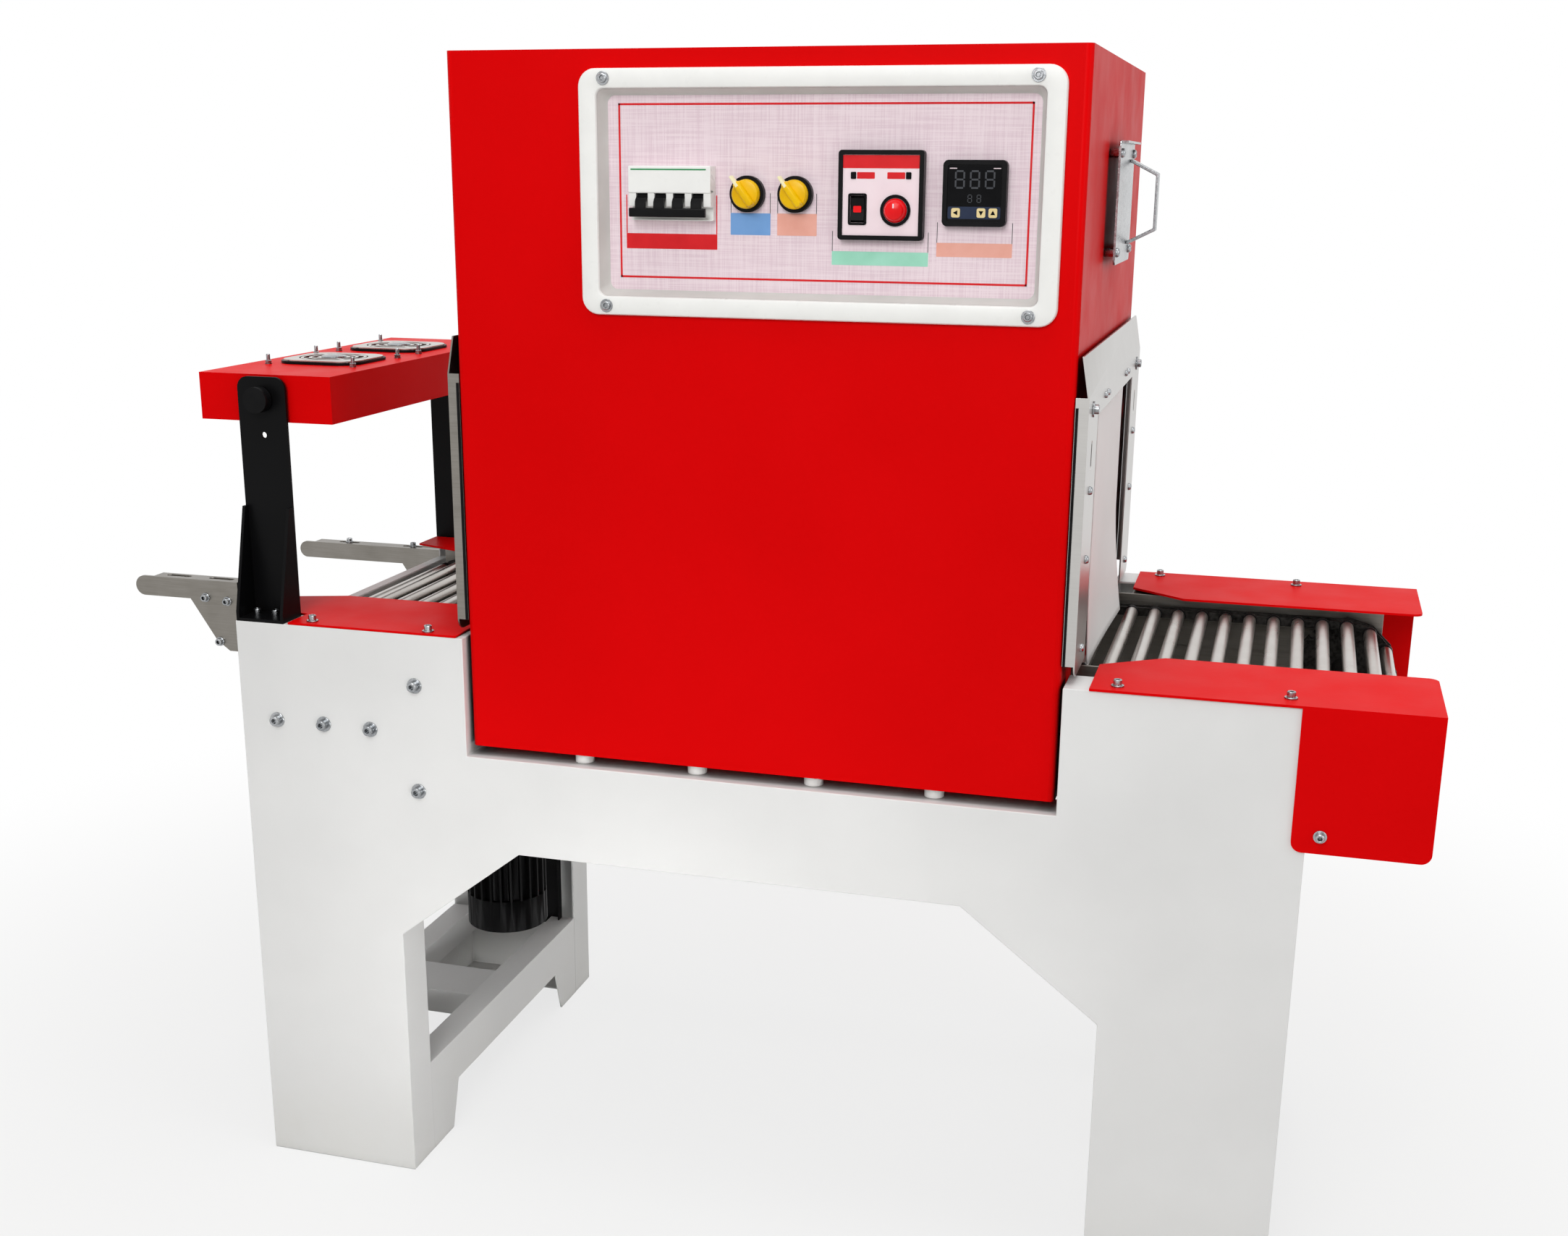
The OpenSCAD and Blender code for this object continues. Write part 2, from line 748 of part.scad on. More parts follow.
// Flat guard over the chain at the entry, cut round the foot of a post that stands in from the edge
module left_guard(post_in) {
    end_gap = 4;
    frame_lap = 2;
    foot_gap = 6;
    start = -half_length + end_gap;
    end = tunnel_left - portal_depth + frame_lap;
    foot_end = bar_axis_x + post_width / 2 + foot_gap;
    foot_side = -half_depth + post_in + post_foot + foot_gap;
    translate([0, 0, frame_height]) linear_extrude(sheet) polygon([
        [foot_end, -half_depth], [end, -half_depth], [end, guard_inner], [start + guard_corner, guard_inner],
        [start, guard_inner - guard_cut / 2], [start, foot_side], [foot_end, foot_side]
    ]);
}

module left_guards() {
    color("red") {
        left_guard(0);
        to_back() left_guard(rear_inset);
    }
}

// Guard over the chain at the exit, with a cheek bent down past the end of the frame
module right_guard() {
    start = tunnel_right + portal_depth + guard_gap;
    end = half_length + guard_overhang;
    cheek_length = cheek_lap + guard_overhang;
    r = 12;
    translate([0, 0, frame_height]) linear_extrude(sheet) {
        polygon([
            [start, -half_depth - sheet], [end, -half_depth - sheet], [end, guard_inner - r],
            [end - r, guard_inner], [start + guard_corner, guard_inner], [start, guard_inner - guard_cut]
        ]);
        translate([end - r, guard_inner - r]) circle(r);
    }
    translate([half_length - cheek_lap, -half_depth - sheet, frame_height - cheek_height]) along_y(sheet) {
        translate([0, r]) square([cheek_length, cheek_height - r]);
        translate([r, 0]) square([cheek_length - 2 * r, r]);
        for (x = [r, cheek_length - r])
            translate([x, r]) circle(r);
    }
}

module right_guards() {
    color("red") {
        right_guard();
        to_back() right_guard();
    }
}

// A bent plate with a foot and two slanted side webs
module fan_post() {
    r = 15;
    height = post_top - frame_height;
    sight_hole_d = 8;
    sight_hole_drop = 46;
    web_top = 12;
    web_toe = 12;
    translate([bar_axis_x, -half_depth, frame_height]) {
        difference() {
            translate([0, post_foot - post_sheet, 0]) along_y(post_sheet) {
                translate([-post_width / 2, 0]) square([post_width, height - r]);
                translate([-post_width / 2 + r, 0]) square([post_width - 2 * r, height]);
                for (sx = [-1, 1])
                    translate([sx * (post_width / 2 - r), height - r]) circle(r);
            }
            translate([0, 0, bar_rise]) rotate([-90, 0, 0])
                cylinder(d = stud_d + 2 * slack, h = post_foot + over);
            translate([0, 0, bar_rise - sight_hole_drop]) rotate([-90, 0, 0])
                cylinder(d = sight_hole_d, h = post_foot + over);
        }
        translate([-post_width / 2, 0, 0]) cube([post_width, post_foot, post_sheet]);
        for (x = [-post_width / 2, post_width / 2 - post_sheet])
            translate([x, 0, 0]) along_x(post_sheet) polygon([
                [0, 0], [post_foot - post_sheet, 0], [post_foot - post_sheet, post_web],
                [post_foot - web_top, post_web], [0, web_toe]
            ]);
    }
}

module fan_posts() {
    color([0.08, 0.08, 0.08]) {
        fan_post();
        to_back() translate([0, rear_inset, 0]) fan_post();
    }
}

// A box on two tilt studs, with an opening for each fan
module fan_bar() {
    stud_crown = 5;
    stud_length = bar_gap + post_sheet + knob_height - stud_crown;
    washer = bar_gap - seat_gap;
    washer_lip = 8;
    color("red") translate([bar_axis_x, 0, bar_axis_z]) {
        difference() {
            translate([-bar_width / 2, -bar_half, -bar_height / 2])
                cube([bar_width, bar_half + bar_back, bar_height]);
            for (side = [-1, 1])
                translate([0, side * fan_pitch / 2, 0])
                    cylinder(d = fan_d, h = bar_height + 2 * over, center = true);
        }
        for (end = [[1, bar_half], [-1, bar_back]])
            rotate([end[0] * 90, 0, 0]) translate([0, 0, end[1]]) {
                cylinder(d = stud_d, h = stud_length);
                cylinder(d = stud_d + 2 * washer_lip, h = washer);
            }
    }
}

fan_boss = 12;
fan_boss_d = 44;
fan_shaft_d = 6;
fan_lift = 2;
blade_half = 13;

// Motor boss on four struts at the bottom of each fan's opening
module fan_motors() {
    strut = 8;
    strut_height = 5;
    shaft_end = 2;
    color("dimgray")
        for (side = [-1, 1])
            translate([bar_axis_x, side * fan_pitch / 2, bar_axis_z - bar_height / 2 + fan_lift]) {
                intersection() {
                    cylinder(d = fan_d, h = strut_height);
                    for (angle = [45, 135])
                        rotate(angle) translate([-fan_d, -strut / 2, 0])
                            cube([2 * fan_d, strut, strut_height]);
                }
                cylinder(d = fan_boss_d, h = fan_boss);
                cylinder(d = fan_shaft_d, h = fan_boss + 2 * blade_half + shaft_end);
            }
}

// A hub with pitched blades, turning on the motor's shaft
module fan_rotor() {
    blades = 7;
    hub_d = fan_boss_d + 2;
    blade_root = 18;
    blade_width = 40;
    blade_thickness = 2;
    blade_pitch = 40;
    tip_gap = 5;
    rotor_z = bar_axis_z - bar_height / 2 + fan_lift + fan_boss + seat_gap;
    color("black")
        translate([bar_axis_x, 0, rotor_z]) difference() {
            union() {
                cylinder(d = hub_d, h = 2 * blade_half);
                intersection() {
                    cylinder(d = fan_d - 2 * tip_gap, h = 2 * blade_half);
                    for (i = [0:blades - 1])
                        rotate(i * 360 / blades) translate([blade_root, 0, blade_half])
                            rotate([blade_pitch, 0, 0])
                                translate([0, -blade_width / 2, -blade_thickness / 2])
                                    cube([fan_d, blade_width, blade_thickness]);
                }
            }
            translate([0, 0, -over]) cylinder(d = fan_shaft_d + 2 * slack, h = 2 * blade_half + 2 * over);
        }
}

module front_fan_rotor() { translate([0, -fan_pitch / 2, 0]) fan_rotor(); }

module rear_fan_rotor() { translate([0, fan_pitch / 2, 0]) fan_rotor(); }

// Pressed finger guards: rings on four arms, with a screw lug at each corner
module fan_guards() {
    margin = 8;
    guard_side = fan_d + 2 * margin;
    guard_t = 1.5;
    corner = 28;
    edge = 2;
    first_ring = 18;
    ring_pitch = 11;
    ring_width = 4;
    arm_width = 6;
    lug = 4;
    lug_d = 9;
    lug_inset = 11;
    color("silver")
        for (side = [-1, 1])
            translate([bar_axis_x, side * fan_pitch / 2, bar_axis_z + bar_height / 2]) {
                translate([0, 0, lug]) linear_extrude(guard_t) difference() {
                    rounded_rectangle(guard_side, guard_side, corner);
                    difference() {
                        circle(d = fan_d - 2 * edge);
                        for (r = [first_ring:ring_pitch:fan_d / 2])
                            difference() {
                                circle(r + ring_width);
                                if (r > first_ring) circle(r);
                            }
                        for (angle = [45, 135])
                            rotate(angle) square([2 * fan_d, arm_width], center = true);
                    }
                }
                for (sx = [-1, 1], sy = [-1, 1])
                    translate([sx, sy, 0] * (guard_side / 2 - lug_inset)) cylinder(d = lug_d, h = lug);
            }
}

// A round clamp knob on the end of a tilt stud
module clamp_knob() {
    neck = 3;
    neck_lip = 5;
    crown = 4;
    knob_y = -post_face - post_sheet - seat_gap;
    color([0.1, 0.1, 0.1]) translate([bar_axis_x, knob_y, bar_axis_z]) rotate([90, 0, 0])
        difference() {
            union() {
                cylinder(d = stud_d + 2 * neck_lip, h = knob_height);
                translate([0, 0, neck]) cylinder(d = knob_d, h = knob_height - neck);
            }
            translate([0, 0, -over]) cylinder(d = stud_d + 2 * slack, h = knob_height - crown + over);
        }
}

module front_clamp_knob() { clamp_knob(); }

module rear_clamp_knob() { to_back() translate([0, rear_inset, 0]) clamp_knob(); }

// A plate arm with a round tip, a bracket down the frame's end and a slotted lip along its top
module arm(reach, top) {
    bottom = top - bracket_height;
    r = arm_height / 2;
    tip = -half_length - reach + r;
    bend_run = bracket_length / 2;
    bend_rise = arm_height / 2;
    heel = bracket_length / 4;
    lip_length = reach - 2 * r;
    slot_r = arm_lip / 6;
    slots = [0.25 * lip_length, 0.75 * lip_length];
    color("darkgray") {
        along_y(arm_sheet) {
            translate([tip, top - arm_height]) square([reach - r, arm_height]);
            translate([tip, top - r]) circle(r);
            polygon([
                [-half_length - bracket_length, top - arm_height],
                [-half_length - bracket_length + bend_run, bottom + bend_rise],
                [-half_length - heel, bottom], [-half_length, bottom], [-half_length, top - arm_height]
            ]);
        }
        translate([-half_length - arm_sheet, 0, bottom])
            cube([arm_sheet, bracket_return, bracket_height]);
        translate([tip + r, 0, top - arm_sheet]) difference() {
            cube([lip_length, arm_lip, arm_sheet]);
            for (x = slots)
                translate([x, (arm_lip + arm_sheet) / 2, -over]) linear_extrude(arm_sheet + 2 * over) {
                    square([arm_slot - 2 * slot_r, 2 * slot_r], center = true);
                    for (end = [-1, 1])
                        translate([end * (arm_slot / 2 - slot_r), 0]) circle(slot_r);
                }
        }
    }
}

module front_arm() {
    translate([0, -half_depth + arm_inset, 0]) arm(front_arm_reach, frame_height + front_arm_rise);
}

module rear_arm() {
    translate([0, bay_half + arm_inset, 0]) arm(rear_arm_reach, frame_height - rear_arm_drop);
}

// A frame with a flat rim and slanted inner walls down to the panel
module control_bezel() {
    half_w = panel_width / 2;
    half_h = panel_height / 2;
    color("white") translate([panel_x, -tunnel_front, panel_z]) {
        translate([0, -bezel_rise, 0]) along_y(bezel_rise) difference() {
            rounded_rectangle(bezel_width, bezel_height, bezel_r);
            square([panel_width, panel_height], center = true);
        }
        for (side = [-1, 1]) {
            translate([-half_w, 0, 0]) along_x(panel_width) polygon([
                [-bezel_rise, side * half_h], [panel_depth, side * half_h],
                [panel_depth, side * (half_h - bezel_slope)]
            ]);
            translate([0, 0, -half_h]) linear_extrude(panel_height) polygon([
                [side * half_w, -bezel_rise], [side * half_w, panel_depth],
                [side * (half_w - bezel_slope), panel_depth]
            ]);
        }
    }
}

module control_panel() {
    color("mistyrose") translate([panel_x, panel_face, panel_z]) along_y(panel_sheet)
        square([panel_width, panel_height], center = true);
}

breaker_pin_d = 4;

// Four poles in one stepped body, with a channel for the toggles
module breaker_body() {
    height = 60;
    low = 14;
    rise = 20;
    cheek = breaker_cheek;
    pin_wall = 2;
    color("white") translate([breaker_x, panel_face, control_z]) difference() {
        union() {
            translate([-breaker_width / 2, -low, -height / 2]) cube([breaker_width, low, height]);
            translate([-breaker_width / 2, -rise, -breaker_step / 2])
                cube([breaker_width, rise, breaker_step]);
        }
        translate([-breaker_width / 2 + cheek, -toggle_rise, 0]) rotate([0, 90, 0])
            cylinder(d = toggle_d + 2 * small_gap, h = breaker_width - 2 * cheek);
        translate([-breaker_width / 2 + cheek, -rise - over, -toggle_d / 2 - small_gap])
            cube([breaker_width - 2 * cheek, rise - toggle_rise + over, toggle_d + 2 * small_gap]);
        translate([-breaker_width / 2 + pin_wall, -toggle_rise, 0]) rotate([0, 90, 0])
            cylinder(d = breaker_pin_d + 2 * slack, h = breaker_width - 2 * pin_wall);
    }
}

// Four levers on one drum, tied by a bar
module breaker_toggle() {
    drum = breaker_width - 2 * breaker_cheek - 2 * small_gap;
    pin_length = drum + breaker_cheek;
    pole = drum / 4;
    lever = [10, lever_rise + 2, 6];
    tie = [drum - 8, lever_rise - 3, lever[2]];
    front = -toggle_d / 2 - lever_rise;
    color([0.08, 0.08, 0.08]) translate([breaker_x, panel_face - toggle_rise, control_z]) {
        rotate([0, 90, 0]) cylinder(d = toggle_d, h = drum, center = true);
        rotate([0, 90, 0]) cylinder(d = breaker_pin_d, h = pin_length, center = true);
        for (i = [-1.5:1.5])
            translate([i * pole - lever[0] / 2, front, -lever[2] / 2]) cube(lever);
        translate([-tie[0] / 2, front, -tie[2] / 2]) cube(tie);
    }
}

switch_base_h = 8;
switch_pin_d = 6;
switch_pin_h = 16;

module switch_bases() {
    color([0.06, 0.06, 0.06])
        for (x = switch_x)
            translate([x, panel_face, control_z]) rotate([90, 0, 0]) {
                cylinder(d = switch_d, h = switch_base_h);
                cylinder(d = switch_pin_d, h = switch_pin_h);
            }
}

// A round foot with a grip across it, turning on the switch's pin
module switch_knob() {
    height = switch_reach - switch_base_h - seat_gap;
    foot_d = switch_d - 10;
    foot_h = 5;
    grip = [11, switch_d - 4];
    grip_r = 5;
    rest_turn = -30;
    bore_h = switch_pin_h - switch_base_h + over;
    color("gold") translate([0, panel_face - switch_base_h - seat_gap, control_z]) rotate([90, 0, 0])
        difference() {
            union() {
                cylinder(d = foot_d, h = foot_h);
                rotate(rest_turn) linear_extrude(height) rounded_rectangle(grip[0], grip[1], grip_r);
            }
            translate([0, 0, -over]) cylinder(d = switch_pin_d + 2 * slack, h = bore_h);
        }
}

module fan_switch_knob() { translate([switch_x[0], 0, 0]) switch_knob(); }

module heater_switch_knob() { translate([switch_x[1], 0, 0]) switch_knob(); }

speed_rise = 12;
face_sink = 2;
speed_pin_d = 5;
speed_pin_h = 6;
speed_knob_at = [17, -16];
rocker_at = [-26, -15];
rocker_size = [15, 24, 8];
rocker_pin_d = 3;
rocker_sink = 5;

// A square unit with a rim, a pocket for its rocker and a pin for its knob
module speed_controller() {
    rim = 5;
    corner = 4;
    pin_seat = 8;
    throw_room = 5;
    pocket = [rocker_size[0] + 2 * small_gap, rocker_size[1] + throw_room, rocker_size[2] + over];
    color([0.1, 0.1, 0.1]) translate([speed_x, panel_face, control_z]) rotate([90, 0, 0]) {
        difference() {
            linear_extrude(speed_rise) rounded_rectangle(speed_side, speed_side, corner);
            translate([0, 0, speed_rise - face_sink]) linear_extrude(face_sink + over)
                square([speed_side - 2 * rim, speed_side - 2 * rim], center = true);
            translate([rocker_at[0], rocker_at[1], speed_rise - face_sink - pocket[2] / 2 + over])
                cube([pocket[0], pocket[1], pocket[2] + 2 * over], center = true);
            translate([rocker_at[0], rocker_at[1], speed_rise - rocker_sink]) rotate([0, 90, 0])
                cylinder(d = rocker_pin_d + 2 * slack, h = rocker_size[0] + pin_seat, center = true);
        }
        translate([speed_knob_at[0], speed_knob_at[1], 0])
            cylinder(d = speed_pin_d, h = speed_rise + speed_pin_h);
    }
}

module speed_knob() {
    knob = [26, 13];
    bore_h = face_sink + speed_pin_h + over;
    color("red") translate([speed_x, panel_face, control_z]) rotate([90, 0, 0])
        translate([speed_knob_at[0], speed_knob_at[1], speed_rise - face_sink + seat_gap]) difference() {
            cylinder(d = knob[0], h = knob[1]);
            translate([0, 0, -over]) cylinder(d = speed_pin_d + 2 * slack, h = bore_h);
        }
}

// A rocker on a pin across its pocket
module power_rocker() {
    pin_ends = 6;
    end = rocker_size[1] / 2;
    foot = 1;
    tip = 4.5;
    valley = 3;
    color([0.08, 0.08, 0.08]) translate([speed_x, panel_face, control_z]) rotate([90, 0, 0])
        translate([rocker_at[0], rocker_at[1], speed_rise - rocker_sink]) {
            rotate([0, 90, 0]) cylinder(d = rocker_pin_d, h = rocker_size[0] + pin_ends, center = true);
            translate([-rocker_size[0] / 2, 0, 0]) along_x(rocker_size[0]) polygon([
                [-end, -foot], [end, -foot], [end, tip], [0, valley], [-end, tip]
            ]);
        }
}

// A square unit with a rim round its sunk face
module temperature_controller() {
    rise = 11;
    rim = 5;
    corner = 6;
    inner_corner = 3;
    inner = heat_side - 2 * rim;
    color([0.1, 0.1, 0.1]) translate([heat_x, panel_face, control_z + heat_lift]) rotate([90, 0, 0])
        difference() {
            linear_extrude(rise) rounded_rectangle(heat_side, heat_side, corner);
            translate([0, 0, rise - face_sink]) linear_extrude(face_sink + over)
                rounded_rectangle(inner, inner, inner_corner);
        }
}

at_origin() front_side_panel();
at_origin() rear_side_panel();
at_origin() left_leg_ties();
at_origin() right_leg_ties();
at_origin() tie_struts();
at_origin() end_rails();
at_origin() tunnel_hood();
at_origin() tunnel_spacers();
at_origin() exit_frame();
at_origin() entry_frame();
at_origin() exit_curtain();
at_origin() entry_curtain();
at_origin() side_plate();
at_origin() side_plate_handle();
at_origin() conveyor_rails();
at_origin() conveyor_chains();
at_origin() conveyor_rollers();
at_origin() entry_drive_shaft();
at_origin() exit_idler_shaft();
at_origin() shaft_bearings();
at_origin() motor_plate();
at_origin() gear_motor();
at_origin() left_guards();
at_origin() right_guards();
at_origin() fan_posts();
at_origin() fan_bar();
at_origin() fan_motors();
at_origin() fan_guards();
at_origin() front_fan_rotor();
at_origin() rear_fan_rotor();
at_origin() front_clamp_knob();
at_origin() rear_clamp_knob();
at_origin() front_arm();
at_origin() rear_arm();
at_origin() control_bezel();
at_origin() control_panel();
at_origin() breaker_body();
at_origin() breaker_toggle();
at_origin() switch_bases();
at_origin() fan_switch_knob();
at_origin() heater_switch_knob();
at_origin() speed_controller();
at_origin() speed_knob();
at_origin() power_rocker();
at_origin() temperature_controller();
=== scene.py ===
# %% [markdown]
# # A heat shrink tunnel
# Film-wrapped goods ride on steel rollers through a hot red hood on a white sheet-steel frame. The machine's
# solids were drawn and packed beforehand, and this lesson dresses them: every solid gets the finish of the
# real piece, and the small things that solids leave out, such as bolts, link plates, soft curtains and the
# faces of the control units, are modelled here.

# %% Load the solids
import json
import math
import bpy
from mathutils import Matrix, Vector


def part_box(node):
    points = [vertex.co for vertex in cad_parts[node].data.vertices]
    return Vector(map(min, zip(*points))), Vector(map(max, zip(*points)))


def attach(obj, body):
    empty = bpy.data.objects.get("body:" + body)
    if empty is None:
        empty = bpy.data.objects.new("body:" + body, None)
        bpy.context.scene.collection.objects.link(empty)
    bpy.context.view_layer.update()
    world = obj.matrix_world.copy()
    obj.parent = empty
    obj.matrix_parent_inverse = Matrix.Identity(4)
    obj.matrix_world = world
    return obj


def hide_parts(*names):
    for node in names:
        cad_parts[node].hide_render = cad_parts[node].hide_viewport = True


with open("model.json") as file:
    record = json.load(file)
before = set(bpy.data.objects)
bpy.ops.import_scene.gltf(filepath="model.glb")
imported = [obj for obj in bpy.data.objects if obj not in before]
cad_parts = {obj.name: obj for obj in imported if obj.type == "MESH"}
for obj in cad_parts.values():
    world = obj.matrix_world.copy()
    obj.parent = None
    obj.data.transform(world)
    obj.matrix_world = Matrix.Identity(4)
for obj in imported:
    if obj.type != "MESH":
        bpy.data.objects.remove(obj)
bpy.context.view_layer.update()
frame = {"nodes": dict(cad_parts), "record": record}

nodes = frame["nodes"]
MM = 0.001


def span(node):
    """Lowest and highest corner of a solid, in millimetres."""
    low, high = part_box(node)
    return low / MM, high / MM


# %% [markdown]
# ## The camera
# The picture that this scene follows was taken a little over two metres away, from the right of the control
# panel and above the rollers. A camera could be aimed with a Track To constraint, but three angles are enough
# and keep the framing exact. The lens shift stands for the picture's crop.

# %% Camera
CAMERA_AT = (0.6839, -2.3296, 1.3349)  # metres
YAW, PITCH, ROLL = 16.116, -16.052, 0.36  # degrees
LENS, SENSOR = 41.56, 36  # millimetres
SHIFT = (0.0109, 0.0460)  # shares of the picture's width

camera = bpy.data.objects.new("camera", bpy.data.cameras.new("camera"))
bpy.context.scene.collection.objects.link(camera)
turns = [Matrix.Rotation(math.radians(YAW), 4, "Z"), Matrix.Rotation(math.radians(90 + PITCH), 4, "X"),
         Matrix.Rotation(math.radians(ROLL), 4, "Z")]
camera.matrix_world = Matrix.Translation(CAMERA_AT) @ turns[0] @ turns[1] @ turns[2]
camera.data.lens, camera.data.sensor_width = LENS, SENSOR
camera.data.shift_x, camera.data.shift_y = SHIFT
bpy.context.scene.camera = camera
bpy.context.scene.view_settings.view_transform = "Standard"
print("camera at", CAMERA_AT)

# %% [markdown]
# ## Colours and nodes
# Colours are written as sRGB hex values, as a paint chart gives them. Shaders count in linear light, so one
# function converts them. One more function adds a node, sets its sockets and links it, and every material
# below is written with these two.

# %% Colour and node helpers
def linear(colour):
    """An sRGB hex colour as linear red, green, blue and alpha."""
    parts = [int(colour[i:i + 2], 16) / 255 for i in (0, 2, 4)]
    return [c / 12.92 if c <= 0.04045 else ((c + 0.055) / 1.055) ** 2.4 for c in parts] + [1.0]


def add(tree, kind, values=None, links=None, **settings):
    """Adds one node: settings are its properties, values its sockets, links the outputs that feed it."""
    made = tree.nodes.new(kind)
    for name, value in settings.items():
        setattr(made, name, value)
    for socket, value in (values or {}).items():
        made.inputs[socket].default_value = value
    for socket, source in (links or {}).items():
        tree.links.new(source, made.inputs[socket])
    return made


print("a mid grey of 808080 is", round(linear("808080")[0], 3), "in linear light")

# %% [markdown]
# ## Stage and light
# A product picture has a plain pale floor and soft light from all round. The world lights the machine evenly,
# and a ray that goes straight to the camera, or by way of a mirror, sees it white. Five square lamps add
# direction: large ones in front, on the exit side, above and behind, and a small narrow one near the floor
# that reaches under the bridge. The floor fades to white away from the machine, so that no horizon shows, and
# keeps the contact shadow.

# %% World
AMBIENT = 0.40  # strength of the world on surfaces

world = bpy.data.worlds.new("studio")
bpy.context.scene.world = world
world.use_nodes = True
tree = world.node_tree
rays = add(tree, "ShaderNodeLightPath")
seen = add(tree, "ShaderNodeMath", links={0: rays.outputs["Is Camera Ray"], 1: rays.outputs["Is Glossy Ray"]},
           operation="MAXIMUM")
seen = add(tree, "ShaderNodeMath", links={0: seen.outputs[0], 1: rays.outputs["Is Transmission Ray"]},
           operation="MAXIMUM")
level = add(tree, "ShaderNodeMapRange", {"To Min": AMBIENT, "To Max": 1.0}, {"Value": seen.outputs[0]})
tree.links.new(level.outputs[0], tree.nodes["Background"].inputs["Strength"])
tree.nodes["Background"].inputs["Color"].default_value = (1, 1, 1, 1)
print("world strength on surfaces:", AMBIENT)

# %% Floor
FLOOR_HALF = 9.0  # metres
FLOOR_DROP = 0.0004  # metres, which keeps the floor just under the feet
FADE_START, FADE_END = 0.9, 2.2  # metres from the machine's middle
PALE = 0.75  # share of plain white that the camera sees close to the machine

mesh = bpy.data.meshes.new("studio_floor")
corners = [(-1, -1), (1, -1), (1, 1), (-1, 1)]
mesh.from_pydata([(x * FLOOR_HALF, y * FLOOR_HALF, -FLOOR_DROP) for x, y in corners], [], [(0, 1, 2, 3)])
floor = bpy.data.objects.new("studio_floor", mesh)
bpy.context.scene.collection.objects.link(floor)
paper = bpy.data.materials.new("pale_paper_floor")
paper.use_nodes = True
tree = paper.node_tree
shader = tree.nodes["Principled BSDF"]
shader.inputs["Roughness"].default_value = 0.9
shader.inputs["Base Color"].default_value = linear("D2D2D0")
place = add(tree, "ShaderNodeTexCoord")
distance = add(tree, "ShaderNodeVectorMath", links={0: place.outputs["Object"]}, operation="LENGTH")
fade = add(tree, "ShaderNodeMapRange", {"From Min": FADE_START, "From Max": FADE_END, "To Min": PALE},
           {"Value": distance.outputs["Value"]}, interpolation_type="SMOOTHSTEP")
rays = add(tree, "ShaderNodeLightPath")
seen = add(tree, "ShaderNodeMath", links={0: rays.outputs["Is Camera Ray"], 1: rays.outputs["Is Glossy Ray"]},
           operation="MAXIMUM")
share = add(tree, "ShaderNodeMath", links={0: fade.outputs[0], 1: seen.outputs[0]}, operation="MULTIPLY")
white = add(tree, "ShaderNodeEmission", {"Color": (1, 1, 1, 1), "Strength": 1.0})
mixed = add(tree, "ShaderNodeMixShader",
            links={0: share.outputs[0], 1: shader.outputs[0], 2: white.outputs[0]})
tree.links.new(mixed.outputs[0], tree.nodes["Material Output"].inputs["Surface"])
mesh.materials.append(paper)
print("floor half width:", FLOOR_HALF, "m")

# %% Lamps
def softbox(name, at, aim, size, power, spread=180):
    """A square lamp, size in metres and power in watts, turned from one point towards another.

    A spread in degrees below 180 narrows its beam, as a grid in front of a real softbox does.
    """
    lamp = bpy.data.objects.new(name, bpy.data.lights.new(name, "AREA"))
    lamp.data.size, lamp.data.energy, lamp.data.spread = size, power, math.radians(spread)
    lamp.location = at
    lamp.rotation_euler = (Vector(aim) - Vector(at)).to_track_quat("-Z", "Y").to_euler()
    bpy.context.scene.collection.objects.link(lamp)
    return lamp


softbox("front_softbox", (0.1, -3.6, 2.7), (0, 0, 0.6), 1.6, 60)
softbox("exit_softbox", (3.4, -1.2, 2.2), (0.3, 0, 0.8), 1.8, 19)
softbox("low_softbox", (1.1, -2.0, 0.35), (-0.45, 0.1, 0.3), 0.5, 0.55, 30)
softbox("top_softbox", (0.2, -0.4, 4.2), (0, 0, 0.6), 2.4, 58)
back_lamp = softbox("back_softbox", (0.4, 3.6, 2.6), (0, 0, 0.8), 2.2, 36)
back_lamp.visible_glossy = False  # its mirror image would bleach the tops of the guards

# %% [markdown]
# ## Finishes
# Each finish starts from what the real one is and how it was made. A pattern of a given size in millimetres
# drives its colour, its roughness and its relief, because no real coat is even all over: powder coat has
# orange peel, brushed steel has streaks along the brush, moulded plastic has a fine grain. Light is lost in
# joints and sockets, so one helper paints shade into a colour close to other surfaces.

# %% Finish helpers
NOISE_LOW, NOISE_HIGH = 0.3, 0.7  # most of a noise pattern lies between these values
NEAR_SAMPLES = 6


def finish(name, colour, roughness, metallic=0.0, **more):
    """A material whose constant values are set on the shader itself."""
    material = bpy.data.materials.new(name)
    material.use_nodes = True
    tree = material.node_tree
    values = {"Base Color": linear(colour), "Roughness": roughness, "Metallic": metallic}
    values.update({key.replace("_", " "): value for key, value in more.items()})
    for socket, value in values.items():
        tree.nodes["Principled BSDF"].inputs[socket].default_value = value
    return material, tree


def cloud(tree, size, stretch=(1, 1, 1), detail=3.0):
    """Noise with spots about size millimetres wide, drawn out along an axis by stretch."""
    place = add(tree, "ShaderNodeTexCoord")
    drawn = add(tree, "ShaderNodeMapping", {"Scale": [1 / s for s in stretch]},
                {"Vector": place.outputs["Object"]})
    spots = add(tree, "ShaderNodeTexNoise", {"Scale": 1 / (size * MM), "Detail": detail},
                {"Vector": drawn.outputs[0]})
    return spots.outputs["Fac"]


def shade(tree, pattern, low, high, start=NOISE_LOW, end=NOISE_HIGH):
    """A colour that goes from low to high as the pattern goes from start to end."""
    share = add(tree, "ShaderNodeMapRange", {"From Min": start, "From Max": end}, {"Value": pattern})
    return add(tree, "ShaderNodeMix", {6: linear(low), 7: linear(high)}, {0: share.outputs[0]},
               data_type="RGBA").outputs[2]


